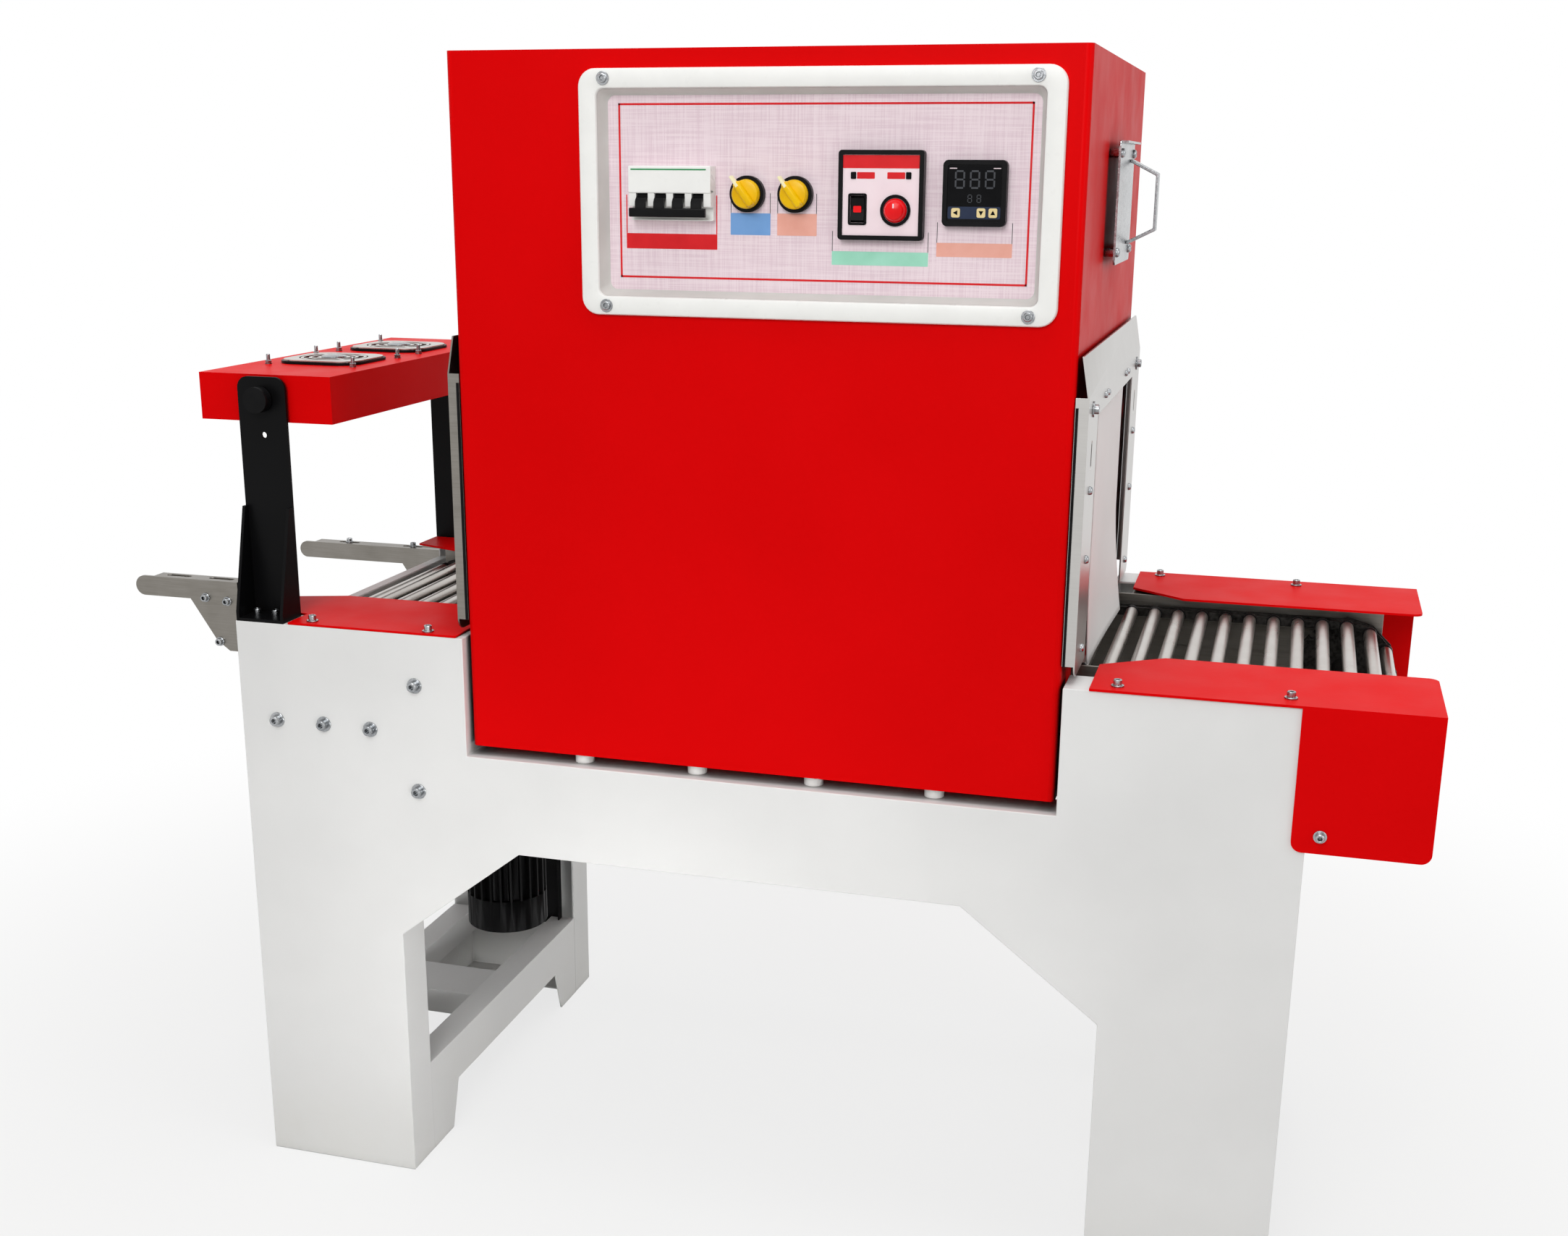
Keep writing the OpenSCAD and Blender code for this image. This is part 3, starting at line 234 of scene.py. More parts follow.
def surface(tree, colour=None, rough=None, relief=None):
    """Feeds the shader: a colour, a pattern with its two roughnesses, a pattern with its depth in mm."""
    shader = tree.nodes["Principled BSDF"]
    if colour:
        tree.links.new(colour, shader.inputs["Base Color"])
    if rough:
        pattern, smooth, coarse = rough
        value = add(tree, "ShaderNodeMapRange", {"From Min": NOISE_LOW, "From Max": NOISE_HIGH,
                                                 "To Min": smooth, "To Max": coarse}, {"Value": pattern})
        tree.links.new(value.outputs[0], shader.inputs["Roughness"])
    if relief:
        pattern, depth = relief
        bump = add(tree, "ShaderNodeBump", {"Distance": depth * MM, "Strength": 1.0}, {"Height": pattern})
        tree.links.new(bump.outputs[0], shader.inputs["Normal"])


def painted_crevice_shade(tree, colour, reach, dark, start, end):
    """Paints shade into a colour where other surfaces stand within reach millimetres, as in a joint or a
    socket.
    """
    near = add(tree, "ShaderNodeAmbientOcclusion", {"Distance": reach * MM}, samples=NEAR_SAMPLES)
    share = add(tree, "ShaderNodeMapRange", {"From Min": start, "From Max": end},
                {"Value": near.outputs["AO"]})
    return add(tree, "ShaderNodeMix", {6: linear(dark)}, {0: share.outputs[0], 7: colour},
               data_type="RGBA").outputs[2]


FINISH = {}
print("finish helpers are ready")

# %% [markdown]
# Powder coat is sprayed dry and melted on, which leaves a slightly wavy skin, called orange peel. Its waves
# are 1 to 3 mm wide. A pixel is about a millimetre at this camera distance, so they are drawn 5 mm wide to
# show at all. The coat's resin has the usual IOR of 1.5. White steel near the floor collects dust and scuffs,
# so the white coat greys a little in its lowest 150 mm. A fine texture breaks up most of a coat's mirror
# reflection, which keeps the red and the black deep under a white sky, so the specular level is below the
# neutral 0.5. Painted shade darkens joints within 30 mm.

# %% Powder coats
DRIFT, PEEL, BLOTCH, SMEAR, JOINT = 240, 5, 70, 60, 30  # widths of the coats' patterns in mm, the last of the painted shade
JOINT_SHADED, JOINT_UNSHADED = 0.12, 0.45  # shares of open sky at which a joint's painted shade is full and gone
PEEL_DEPTH = 0.05  # mm
SMOOTHER, ROUGHER = 0.04, 0.06  # how far the roughness drifts down and up
DUST_TOP, DUST_SHARE = 0.15, 0.35  # metres above the floor, and the dust's share of the colour there
COATS = {  # lighter, darker, roughness, specular level
    "red_powder_coat": ("DC0407", "D50305", 0.38, 0.025),  # an even, deep red with a soft sheen
    "white_powder_coat": ("E7E7E6", "DEDEDD", 0.42, 0.3),  # a clean white with wide, weak reflections
    "black_powder_coat": ("0D0D0E", "080809", 0.38, 0.08),  # near black, with light along its edges
    "motor_paint": ("101011", "09090A", 0.5, 0.12),  # sprayed enamel, flatter than the coats
}
for name, (light, dark, roughness, mirror) in COATS.items():
    material, tree = finish(name, light, roughness, IOR=1.5, Specular_IOR_Level=mirror)
    drift = cloud(tree, DRIFT)
    peel = cloud(tree, PEEL, detail=1.0)
    colour = shade(tree, drift, dark, light)
    if name == "white_powder_coat":
        place = add(tree, "ShaderNodeTexCoord")
        height = add(tree, "ShaderNodeSeparateXYZ", links={0: place.outputs["Object"]})
        low = add(tree, "ShaderNodeMapRange", {"From Min": DUST_TOP, "From Max": 0.0},
                  {"Value": height.outputs["Z"]})
        smears = add(tree, "ShaderNodeMath", links={0: low.outputs[0], 1: cloud(tree, SMEAR)},
                     operation="MULTIPLY")
        smears = add(tree, "ShaderNodeMapRange", {"To Max": DUST_SHARE}, {"Value": smears.outputs[0]})
        colour = add(tree, "ShaderNodeMix", {7: linear("C4BFB4")}, {0: smears.outputs[0], 6: colour},
                     data_type="RGBA").outputs[2]
    # painted shade where other surfaces stand close, in joints and gaps
    colour = painted_crevice_shade(tree, colour, JOINT, "0C0A09", JOINT_SHADED, JOINT_UNSHADED)
    surface(tree, colour, (cloud(tree, BLOTCH), roughness - SMOOTHER, roughness + ROUGHER),
            (peel, PEEL_DEPTH))
    FINISH[name] = material
print("coats:", list(COATS))

# %% [markdown]
# Stainless sheet is brushed in one direction, so its scratches are long and thin: about 0.1 mm wide and some
# centimetres long. They are drawn 1.5 mm wide so that they show. A metal keeps the default IOR and gets its
# colour from its reflection. Bright zinc is smoother and a little bluer, with painted shade in its sockets.
# The goods polish the rollers, which leaves only wide satin spots. Bare steel that is handled goes dull and
# grey, and an oiled chain is nearly black.

# %% Bare metals
WEAR, SOCKET = 45, 5  # widths in mm of the worn spots and of the painted shade round a socket
SOCKET_SHADED, SOCKET_UNSHADED = 0.2, 0.65  # shares of open sky at which a socket's painted shade is full and gone
MEAN_LOW, MEAN_HIGH = 0.36, 0.6  # most of the mean of two noises lies between these values
METALS = {  # lighter, darker, smooth and coarse roughness, scratch width in mm, stretch along X, Y and Z
    "brushed_stainless": ("BDBBB8", "B8B6B3", 0.29, 0.31, 1.5, (30, 30, 1)),  # pale, with drawn-out glints
    "zinc_plated_steel": ("ACAEB0", "8C8F92", 0.18, 0.32, 3.0, (1, 1, 1)),  # small, bright, bluish glints
    "roller_steel": ("C6C2BD", "BBB6B0", 0.27, 0.30, 30.0, (1, 1, 1)),  # one bright line along each tube
    "dull_steel": ("8A8680", "7D7972", 0.32, 0.40, 1.5, (30, 30, 1)),  # mid grey, nothing mirrored sharply
    "chain_steel": ("3A3836", "151413", 0.35, 0.60, 4.0, (1, 1, 1)),  # nearly black, with oily spots
}
for name, (light, dark, smooth, coarse, width, stretch) in METALS.items():
    material, tree = finish(name, light, smooth, 1.0)
    scratch = cloud(tree, width, stretch, 4.0)
    wear = cloud(tree, WEAR, detail=4.0)
    both = add(tree, "ShaderNodeMath", links={0: scratch, 1: wear}, operation="ADD")
    mean = add(tree, "ShaderNodeMath", {1: 0.5}, {0: both.outputs[0]}, operation="MULTIPLY")
    colour = shade(tree, mean.outputs[0], dark, light, MEAN_LOW, MEAN_HIGH)
    if name == "zinc_plated_steel":
        # painted shade in the sockets
        colour = painted_crevice_shade(tree, colour, SOCKET, "121212", SOCKET_SHADED, SOCKET_UNSHADED)
    surface(tree, colour, (scratch, smooth, coarse))
    FINISH[name] = material
print("metals:", list(METALS))

# %% [markdown]
# The bezel is a glossy moulding, the switches and frames are moulded plastic with a fine spark-eroded grain.
# The grain is about 0.2 mm and is drawn 1.2 mm wide. Plastics have an IOR near 1.5. Printed bands and lines
# are screen inks, and the units' faces are polyester films. Both are plastics too, and take the same recipe.
# Black shows a mirrored white sky the most, so the black ones have a lower specular level.

# %% Plastics and prints
GRAIN, TINT, GLOSS = 1.2, 30, 12  # widths in mm of the grain and of the drift in colour and in gloss
GLOSSIER, DULLER = 0.85, 1.2  # how far the roughness drifts, as a share of it
PLASTICS = {  # lighter, darker, roughness, specular level, grain depth in mm
    "white_plastic": ("F1F1EE", "EDEDEA", 0.30, 0.2, 0.0),  # moulded ABS: bright, with soft highlights
    "grey_moulded_abs": ("CFCDC9", "C8C6C2", 0.40, 0.2, 0.0),  # white ABS greyed as painted shade
    "black_plastic": ("121213", "0A0A0B", 0.36, 0.08, 0.02),  # moulded nylon: black with a grey bloom
    "yellow_plastic": ("F2C400", "E0AE00", 0.26, 0.2, 0.01),  # moulded ABS: a strong, warm yellow
    "red_plastic": ("DE1016", "C0080D", 0.22, 0.2, 0.01),  # moulded ABS: a glossy signal colour
    "gloss_black_plastic": ("101012", "08080A", 0.08, 0.08, 0.0),  # polished acrylic: clear reflections
    "red_screen_ink": ("DE1F26", "D0161D", 0.45, 0.2, 0.01),  # inks: flat, even colour without a shine
    "blue_screen_ink": ("79A6DC", "6C9AD2", 0.45, 0.2, 0.01),
    "peach_screen_ink": ("F1B3A4", "E8A493", 0.45, 0.2, 0.01),
    "mint_screen_ink": ("A9E4CD", "9ADABF", 0.45, 0.2, 0.01),
    "cream_rubber_key": ("E9D6A2", "DCC68C", 0.40, 0.2, 0.01),  # moulded rubber: soft and matt
    "unlit_epoxy_segment": ("4A4C50", "3D3F44", 0.30, 0.2, 0.0),  # cast epoxy: a grey that barely shows
    "pink_polyester_film": ("F4E2E7", "F0DCE2", 0.35, 0.2, 0.0),  # printed film: pale and smooth
    "blue_polyester_film": ("27324A", "1F2940", 0.20, 0.2, 0.0),  # the same, dark and glossier
    "green_screen_ink": ("3E9A63", "358B57", 0.40, 0.2, 0.0),  # fine lines, so a little glossier
    "grey_screen_ink": ("9A979A", "8F8C8F", 0.40, 0.2, 0.0),
    "ivory_moulded_abs": ("F6EFC8", "EFE6B4", 0.30, 0.2, 0.0),  # a pale edge that points
    "red_acrylic": ("F01018", "D8060C", 0.20, 0.2, 0.0),  # moulded lens: the brightest red of the panel
}
for name, (light, dark, roughness, mirror, grain) in PLASTICS.items():
    material, tree = finish(name, light, roughness, IOR=1.5, Specular_IOR_Level=mirror)
    fine = cloud(tree, GRAIN, detail=1.0)
    surface(tree, shade(tree, cloud(tree, TINT), dark, light),
            (cloud(tree, GLOSS), roughness * GLOSSIER, roughness * DULLER), (fine, grain) if grain else None)
    FINISH[name] = material
print("plastics:", list(PLASTICS))

# %% [markdown]
# Silicone sheet is calendered between rolls, which leaves it matt, faintly cloudy and a little translucent at
# its IOR of 1.41. The panel's laminate is printed with a fine woven look: pale pink threads that cross every
# millimetre or so, some a little darker than others. They are drawn 1.3 mm wide and 40 times as long.

# %% Calendered silicone
CLOUDY, MATT, ROLLED = 160, 25, 6  # widths in mm of the clouds, of the drift in gloss and of the roll marks
ROLL_DEPTH, INWARD = 0.02, 4  # mm, of the roll marks and of the light that enters the sheet
material, tree = finish("white_silicone", "ECEAE8", 0.5, IOR=1.41, Subsurface_Weight=0.12,
                        Subsurface_Radius=(INWARD * MM, INWARD * MM, INWARD * MM))
clouds = shade(tree, cloud(tree, CLOUDY), "F0EEED", "F4F3F2")
surface(tree, clouds, (cloud(tree, MATT), 0.5, 0.6), (cloud(tree, ROLLED), ROLL_DEPTH))
FINISH["white_silicone"] = material
print("silicone clouds are", CLOUDY, "mm wide")

# %% Woven laminate
THREAD, RUN = 1.3, 40  # width in mm, and length in widths
SUM_LOW, SUM_HIGH = 0.78, 1.14  # most of the sum of two noises lies between these values
THREAD_RISE = 0.01  # mm
material, tree = finish("panel_laminate", "F1DEE3", 0.4, IOR=1.5, Specular_IOR_Level=0.3)
warp = cloud(tree, THREAD, (1, 1, RUN), 2.0)
weft = cloud(tree, THREAD, (RUN, 1, 1), 2.0)
cross = add(tree, "ShaderNodeMath", links={0: warp, 1: weft}, operation="ADD")
threads = shade(tree, cross.outputs[0], "E1CAD3", "EEDCE2", SUM_LOW, SUM_HIGH)
surface(tree, threads, None, (cross.outputs[0], THREAD_RISE))
FINISH["panel_laminate"] = material
print("finishes:", len(FINISH))

# %% [markdown]
# ## Dressing the solids
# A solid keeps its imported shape, unless a finer piece takes its place further down. The record says which
# finish each one takes, so a loop is enough. The picture shows a few of them duller or brighter than fresh
# metal, and these are listed apart. Sheet steel is folded, and a fold is never a razor edge, so a narrow
# bevel is added to the folded and cut pieces, after a weld that joins the corners that the import keeps
# apart.

# %% Finishes on the solids
AS_SEEN = {"front_arm": "dull_steel", "rear_arm": "dull_steel", "entry_frame": "dull_steel",
           "conveyor_rails": "dull_steel", "fan_guards": "roller_steel"}
slot_of = {piece["node"]: piece["material_slot"] for piece in frame["record"]["subparts"]}
for name, solid in nodes.items():
    solid.material_slots[0].material = FINISH[AS_SEEN.get(name, slot_of[name])]
print("finishes set on", len(nodes), "solids,", len(AS_SEEN), "of them as the picture shows them")

# %% Soft edges on the solids
EDGE_ANGLE = math.radians(40)
JOIN = 0.00001  # metres within which corners are one
EDGE = {  # bevel width in mm
    "front_side_panel": 1.2, "rear_side_panel": 1.2, "left_leg_ties": 0.9, "right_leg_ties": 0.9,
    "tunnel_hood": 2.0, "exit_frame": 0.6, "entry_frame": 0.6, "left_guards": 0.8, "right_guards": 0.8,
    "fan_bar": 2.0, "fan_posts": 0.8, "front_arm": 0.8, "rear_arm": 0.8, "side_plate": 0.6,
    "side_plate_handle": 0.8, "breaker_body": 1.0, "breaker_toggle": 0.8, "fan_switch_knob": 0.8,
    "heater_switch_knob": 0.8, "speed_controller": 1.0, "temperature_controller": 1.0, "power_rocker": 0.5,
    "gear_motor": 0.8, "front_clamp_knob": 1.5, "rear_clamp_knob": 1.5, "speed_knob": 1.2,
    "conveyor_rails": 0.6, "motor_plate": 0.8, "tie_struts": 0.8, "end_rails": 0.8,
}


def soften(piece, width):
    """A narrow rounding, in mm, of every sharp edge of a piece."""
    bevel = piece.modifiers.new("soft_edge", "BEVEL")
    bevel.width, bevel.segments = width * MM, 2
    bevel.limit_method, bevel.angle_limit = "ANGLE", EDGE_ANGLE
    return bevel


for name, width in EDGE.items():
    weld = nodes[name].modifiers.new("joined_corners", "WELD")
    weld.merge_threshold = JOIN
    soften(nodes[name], width).harden_normals = True
print("soft edges on", len(EDGE), "solids")

# %% [markdown]
# ## Building small pieces
# Small pieces are turned, cut from plate or lofted through outlines, as they are in a workshop. Each of
# these helpers returns a closed shell of points and faces in millimetres. A shell is drawn facing up, then
# turned to face the side of the machine it sits on, and any number of shells make one piece.

# %% Shell helpers
SHARP = math.radians(35)
FACING = {  # where a shell's own X, Y and Z point
    "top": ((1, 0, 0), (0, 1, 0), (0, 0, 1)), "bottom": ((1, 0, 0), (0, -1, 0), (0, 0, -1)),
    "front": ((1, 0, 0), (0, 0, 1), (0, -1, 0)), "back": ((-1, 0, 0), (0, 0, 1), (0, 1, 0)),
    "right": ((0, 1, 0), (0, 0, 1), (1, 0, 0)), "left": ((0, -1, 0), (0, 0, 1), (-1, 0, 0)),
}


def loft(sections, ring=False):
    """A skin through outlines at given heights, capped at both ends or closed into a ring."""
    count, layers = len(sections[0][0]), len(sections)
    points = [(x, y, z) for outline, z in sections for x, y in outline]
    faces = [] if ring else [list(range(count))[::-1], list(range(count * (layers - 1), count * layers))]
    for layer in range(layers if ring else layers - 1):
        low, high = layer * count, (layer + 1) % layers * count
        for i in range(count):
            j = (i + 1) % count
            faces.append([low + i, low + j, high + j, high + i])
    return points, faces


def circle(radius, steps=24):
    """Points round a circle at the origin."""
    return [(radius * math.cos(a * math.tau / steps), radius * math.sin(a * math.tau / steps))
            for a in range(steps)]


def rounded(width, height, radius, steps=6):
    """A rectangle round the origin with round corners."""
    points = []
    for quarter, (sx, sy) in enumerate(((1, 1), (-1, 1), (-1, -1), (1, -1))):
        for k in range(steps + 1):
            a = math.pi / 2 * (quarter + k / steps)
            points.append((sx * (width / 2 - radius) + radius * math.cos(a),
                           sy * (height / 2 - radius) + radius * math.sin(a)))
    return points


def turned(profile, steps=24):
    """A turned piece from radius and height pairs, bottom to top."""
    return loft([(circle(max(r, 0.01), steps), z) for r, z in profile])


def put(shells, at, facing="top", turn=0.0):
    """Shells turned to face a side of the machine and moved to a point in millimetres."""
    matrix = Matrix(FACING[facing]).transposed() @ Matrix.Rotation(math.radians(turn), 3, "Z")
    moved = []
    for points, faces in shells:
        moved.append(([tuple(matrix @ Vector(p) + Vector(at)) for p in points], faces))
    return moved


def make(name, shells, material, body="machine", bevel=0.0, replaces=()):
    """One piece from its shells, with its finish, its body and, if wanted, a soft edge."""
    points, faces = [], []
    for shell_points, shell_faces in shells:
        start = len(points)
        points += [(x * MM, y * MM, z * MM) for x, y, z in shell_points]
        faces += [[start + i for i in face] for face in shell_faces]
    mesh = bpy.data.meshes.new(name)
    mesh.from_pydata(points, [], faces)
    mesh.shade_smooth()
    mesh.set_sharp_from_angle(angle=SHARP)
    mesh.materials.append(FINISH[material])
    piece = bpy.data.objects.new(name, mesh)
    bpy.context.scene.collection.objects.link(piece)
    if bevel:
        soften(piece, bevel)
    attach(piece, body)
    if replaces:
        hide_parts(*replaces)
    print(name, "faces:", len(faces))
    return piece


# %% [markdown]
# ## Screws and bolts
# The frame is held with socket cap screws on washers, bright zinc plated. A cap screw is a turned cylinder
# with a chamfer and a socket. The socket could be cut with a Boolean, but a loft that goes over the rim and
# down into the head gives clean faces. A real socket is six-sided, which doesn't show at this size, so it is
# round here.

# %% Screw shapes
WASHER_THICK = 1.8


def cap_screw(head, height, washer=0.0):
    """A socket cap screw with its head's diameter and height, on a washer where one is wanted."""
    thick = WASHER_THICK if washer else 0.0
    r = head / 2
    shells = []
    if washer:
        shells.append(turned([(washer / 2 - 0.3, 0), (washer / 2, 0.3), (washer / 2, thick - 0.3),
                              (washer / 2 - 0.4, thick)]))
    socket = [(circle(r, 24), thick), (circle(r, 24), thick + height - r * 0.16),
              (circle(r * 0.86, 24), thick + height), (circle(r * 0.56, 24), thick + height),
              (circle(r * 0.5, 24), thick + height - 0.4), (circle(r * 0.5, 24), thick + height * 0.45)]
    shells.append(loft(socket))
    return shells


def dome_screw(head, height):
    """A pan-head screw with a crossed recess drawn as a small pit."""
    r = head / 2
    arch = [(r, 0), (r, height * 0.3), (r * 0.88, height * 0.7), (r * 0.62, height * 0.95),
            (r * 0.3, height), (r * 0.22, height * 0.6)]
    return [turned(arch, 20)]


def at_each(shape, places, facing):
    """The same shape at several places."""
    return [shell for place in places for shell in put(shape, place, facing)]


print("washers are", WASHER_THICK, "mm thick")

# %% Leg bolts
LEG_BOLTS = [(52, 637), (120, 637), (187, 636), (253, 700), (252, 558)]  # from the left edge, from the floor
panel_low, panel_high = span("front_side_panel")
rear_low, rear_high = span("rear_side_panel")
left, front, back = panel_low.x, panel_low.y, rear_high.y
bolt = cap_screw(13, 9, 20)
shells = at_each(bolt, [(left + x, front, z) for x, z in LEG_BOLTS], "front")
shells += at_each(bolt, [(left + x, back, z) for x, z in LEG_BOLTS], "back")
make("leg_bolts", shells, "zinc_plated_steel")

# %% Guard, post, arm and cheek bolts
EXIT_BOLTS = [(30, 17), (221, 25)]  # from the guard's inner end, and in from the machine's side
ENTRY_BOLTS = [(104, 15), (270, 11)]  # from the machine's left edge, and in from its side
POST_BOLTS, POST_IN, POST_FOOT = (14, 41), 28, 4  # along the foot, in from the side, thickness of the foot
CHEEK_BOLT = (120, 21)  # from the guard's outer end and lower edge
guard_low, guard_high = span("right_guards")
entry_top = span("left_guards")[1].z
post_low = span("fan_posts")[0]
small, bare = cap_screw(10, 6.5, 15), cap_screw(10, 7)
shells = []
for side, edge, facing, cheek in ((-1, front, "front", guard_low.y), (1, back, "back", guard_high.y)):
    for x, inset in EXIT_BOLTS:
        shells += put(small, (guard_low.x + x, edge - side * inset, guard_high.z))
    for x, inset in ENTRY_BOLTS:
        shells += put(small, (left + x, edge - side * inset, entry_top))
    for x in POST_BOLTS:
        shells += put(bare, (post_low.x + x, edge - side * POST_IN, post_low.z + POST_FOOT))
    shells += put(small, (guard_high.x - CHEEK_BOLT[0], cheek, guard_low.z + CHEEK_BOLT[1]), facing)
make("guard_bolts", shells, "zinc_plated_steel")

FRONT_ARM_BOLTS = [(-48, 25), (-16, 22), (-31, -33)]  # from the panel's upper left corner
REAR_ARM_BOLTS = (0.25, 0.75)  # shares of the arm's upper lip
LIP_START, LIP_MIDDLE = 26, 14.5  # along and across the rear arm
thin = cap_screw(9, 5, 12)
arm_low, arm_high = span("front_arm")
shells = at_each(thin, [(left + x, arm_low.y, panel_high.z + z) for x, z in FRONT_ARM_BOLTS], "front")
arm_low, arm_high = span("rear_arm")
lip = arm_high.x - arm_low.x - LIP_START
shells += at_each(thin, [(arm_low.x + LIP_START + lip * share, arm_low.y + LIP_MIDDLE, arm_high.z)
                         for share in REAR_ARM_BOLTS], "top")
make("arm_bolts", shells, "zinc_plated_steel")

# %% [markdown]
# ## The conveyor
# The rollers are steel tubes that ride on the chain's pins. Their ends sit in black caps, which are the first
# thing the eye sees between the guards. The chain's solid is a plain band, so oval link plates are laid on
# its outside, every second one a plate's thickness further out, as outer and inner links are. An array along
# a curve could lay them, but a function that gives the place after any number of pitches is exact, and turns
# each plate to the slope of the chain.

# %% Roller caps and link plates
PITCH_MM = 31.75
CHAIN_HALF = 6.0  # half the band's height
LINK_WIDE, LINK_THICK = 12.5, 1.6
chain_low, chain_high = span("conveyor_chains")
roller_low, roller_high = span("conveyor_rollers")
radius = (chain_high.z - chain_low.z) / 2 - CHAIN_HALF
axle = (chain_high.z + chain_low.z) / 2
ends = (chain_low.x + radius + CHAIN_HALF, chain_high.x - radius - CHAIN_HALF)
steps = round((ends[1] - ends[0]) / PITCH_MM)
around = round(math.tau * radius / PITCH_MM)


def on_loop(i):
    """X, Z and slope of the chain after i pitches from the start of its upper run."""
    if i <= steps:
        return ends[0] + i * PITCH_MM, axle + radius, 0.0
    i -= steps
    if i <= around / 2:
        a = math.pi / 2 - i * math.tau / around
        return ends[1] + radius * math.cos(a), axle + radius * math.sin(a), a - math.pi / 2
    i -= around / 2
    if i <= steps:
        return ends[1] - i * PITCH_MM, axle - radius, math.pi
    a = -math.pi / 2 - (i - steps) * math.tau / around
    return ends[0] + radius * math.cos(a), axle + radius * math.sin(a), a - math.pi / 2


CAP = [(9.1, 0), (9.4, 0.6), (9.4, 9.0), (8.7, 10.0)]  # radius and height
caps, plates = [], []
stadium = rounded(PITCH_MM + LINK_WIDE, LINK_WIDE, 6.2, 5)
for i in range(2 * steps + around):
    x, z, slope = on_loop(i)
    caps += put([turned(CAP, 18)], (x, roller_low.y, z), "back")
    caps += put([turned(CAP, 18)], (x, roller_high.y, z), "front")
    x, z, slope = on_loop(i + 0.5)
    tilt = math.degrees(slope)
    lift = LINK_THICK if i % 2 else 0.0
    for facing, face in (("front", chain_low.y), ("back", chain_high.y)):
        turn = -tilt if facing == "back" else tilt
        plates += put([loft([(stadium, lift), (stadium, lift + LINK_THICK)])], (x, face, z), facing, turn)
make("roller_caps", caps, "black_plastic")
make("link_plates", plates, "chain_steel")

# %% [markdown]
# Behind the gear motor the picture shows a dark area, mostly hidden. A black plate stands there as painted
# shade, drawn as a plain sheet with its edges turned back. A flat sheet could get its thickness from Solidify,
# but a loft that goes up the outside and down the inside gives the turned edges in one skin.

# %% Plate behind the motor
TRAY_W, TRAY_H, TRAY_DEEP, TRAY_WALL = 100.0, 260.0, 14, 1.5
TRAY_X, TRAY_FOOT, TRAY_GAP = 147, 128, 2  # middle from the left edge, foot from the floor, gap to the panel
outside = rounded(TRAY_W, TRAY_H, 5)
inside = rounded(TRAY_W - 2 * TRAY_WALL, TRAY_H - 2 * TRAY_WALL, 4)
tray = loft([(outside, 0), (outside, TRAY_DEEP), (inside, TRAY_DEEP), (inside, TRAY_WALL)])
# a black plate as painted shade behind the motor
shells = put([tray], (left + TRAY_X, rear_low.y - TRAY_GAP, TRAY_FOOT + TRAY_H / 2), "front")
make("painted_shade_plate_behind_motor", shells, "black_powder_coat")

# %% [markdown]
# ## Exit and entry frames
# The frames are bolted on through slots, so that they can be set to the film. A black strip between the folded
# side and the wall is a painted shadow of that gap, and a black plate behind each slot is painted shade in it.
# The strip could be a texture, but as a piece it casts its own line.

# %% Frame screws and strips of painted shade
SLOT_Z, SLOT_W, SLOT_H, SLOT_BACK = 1045, 16, 44, 4  # slot height; its painted shade plate's size and depth
SIDE_IN, SIDE_Z = 50, (985, 905, 800)  # screws down each side
HEAD_Y, HEAD_DROP = (140, 110), 60  # small screws along the head
LARGE_OUT, LARGE_DROP = 4, 62  # the large screw above each side: outward of the others, and below the head
STRIP_OUT, STRIP_IN, STRIP_WIDE, STRIP_FOOT, STRIP_SHORT = 1.4, 1.0, 3, 14, 70
STRIP_OFF = 0.6  # clearance of the strip from the wall
screws, shade_strips = [], []
for name, facing in (("exit_frame", "right"), ("entry_frame", "left")):
    low, high = span(name)
    outer = high.x if facing == "right" else low.x
    wall = low.x if facing == "right" else high.x
    way = 1 if facing == "right" else -1
    for side in (-1, 1):
        y = side * (high.y - SIDE_IN)
        screws += put(cap_screw(11, 5, 18), (outer, y + side * LARGE_OUT, high.z - LARGE_DROP), facing)
        for z in SIDE_Z:
            screws += put(dome_screw(10, 4), (outer, y, z), facing)
        for across in HEAD_Y:
            screws += put(dome_screw(8, 3.5), (outer, side * across, high.z - HEAD_DROP), facing)
        # a black plate behind the slot, painted shade in it
        slot = loft([(rounded(SLOT_W, SLOT_H, 6), 0), (rounded(SLOT_W, SLOT_H, 6), 1.5)])
        shade_strips += put([slot], (outer - way * SLOT_BACK, y, SLOT_Z), facing)
        # a black strip beside the folded side, a painted shadow of the gap to the wall
        tall = high.z - low.z - STRIP_SHORT
        strip = [(wall + way * (STRIP_OFF + a), b + low.z + STRIP_FOOT)
                 for a, b in ((0, 0), (STRIP_WIDE, 0), (STRIP_WIDE, tall), (0, tall))]
        points, faces = loft([(strip, side * (high.y + STRIP_OUT)), (strip, side * (high.y - STRIP_IN))])
        shade_strips.append(([(x, y, z) for x, z, y in points], faces))
make("frame_screws", screws, "zinc_plated_steel")
make("painted_shade_strips", shade_strips, "black_plastic")

# %% [markdown]
# ## Curtains
# The curtains are cut from silicone sheet and hang behind the frames. The goods and the rollers push their
# feet along, so each hangs straight, then swings out in a soft bend, more at one corner than the other.
# Cloth simulation could drop a sheet on the rollers, but the pushed shape is known, so the sheet is laid
# along a bending line and slow waves under a millimetre high are added. The exit sheet is cut narrower than
# its opening, which leaves the gap that shows at the rear.

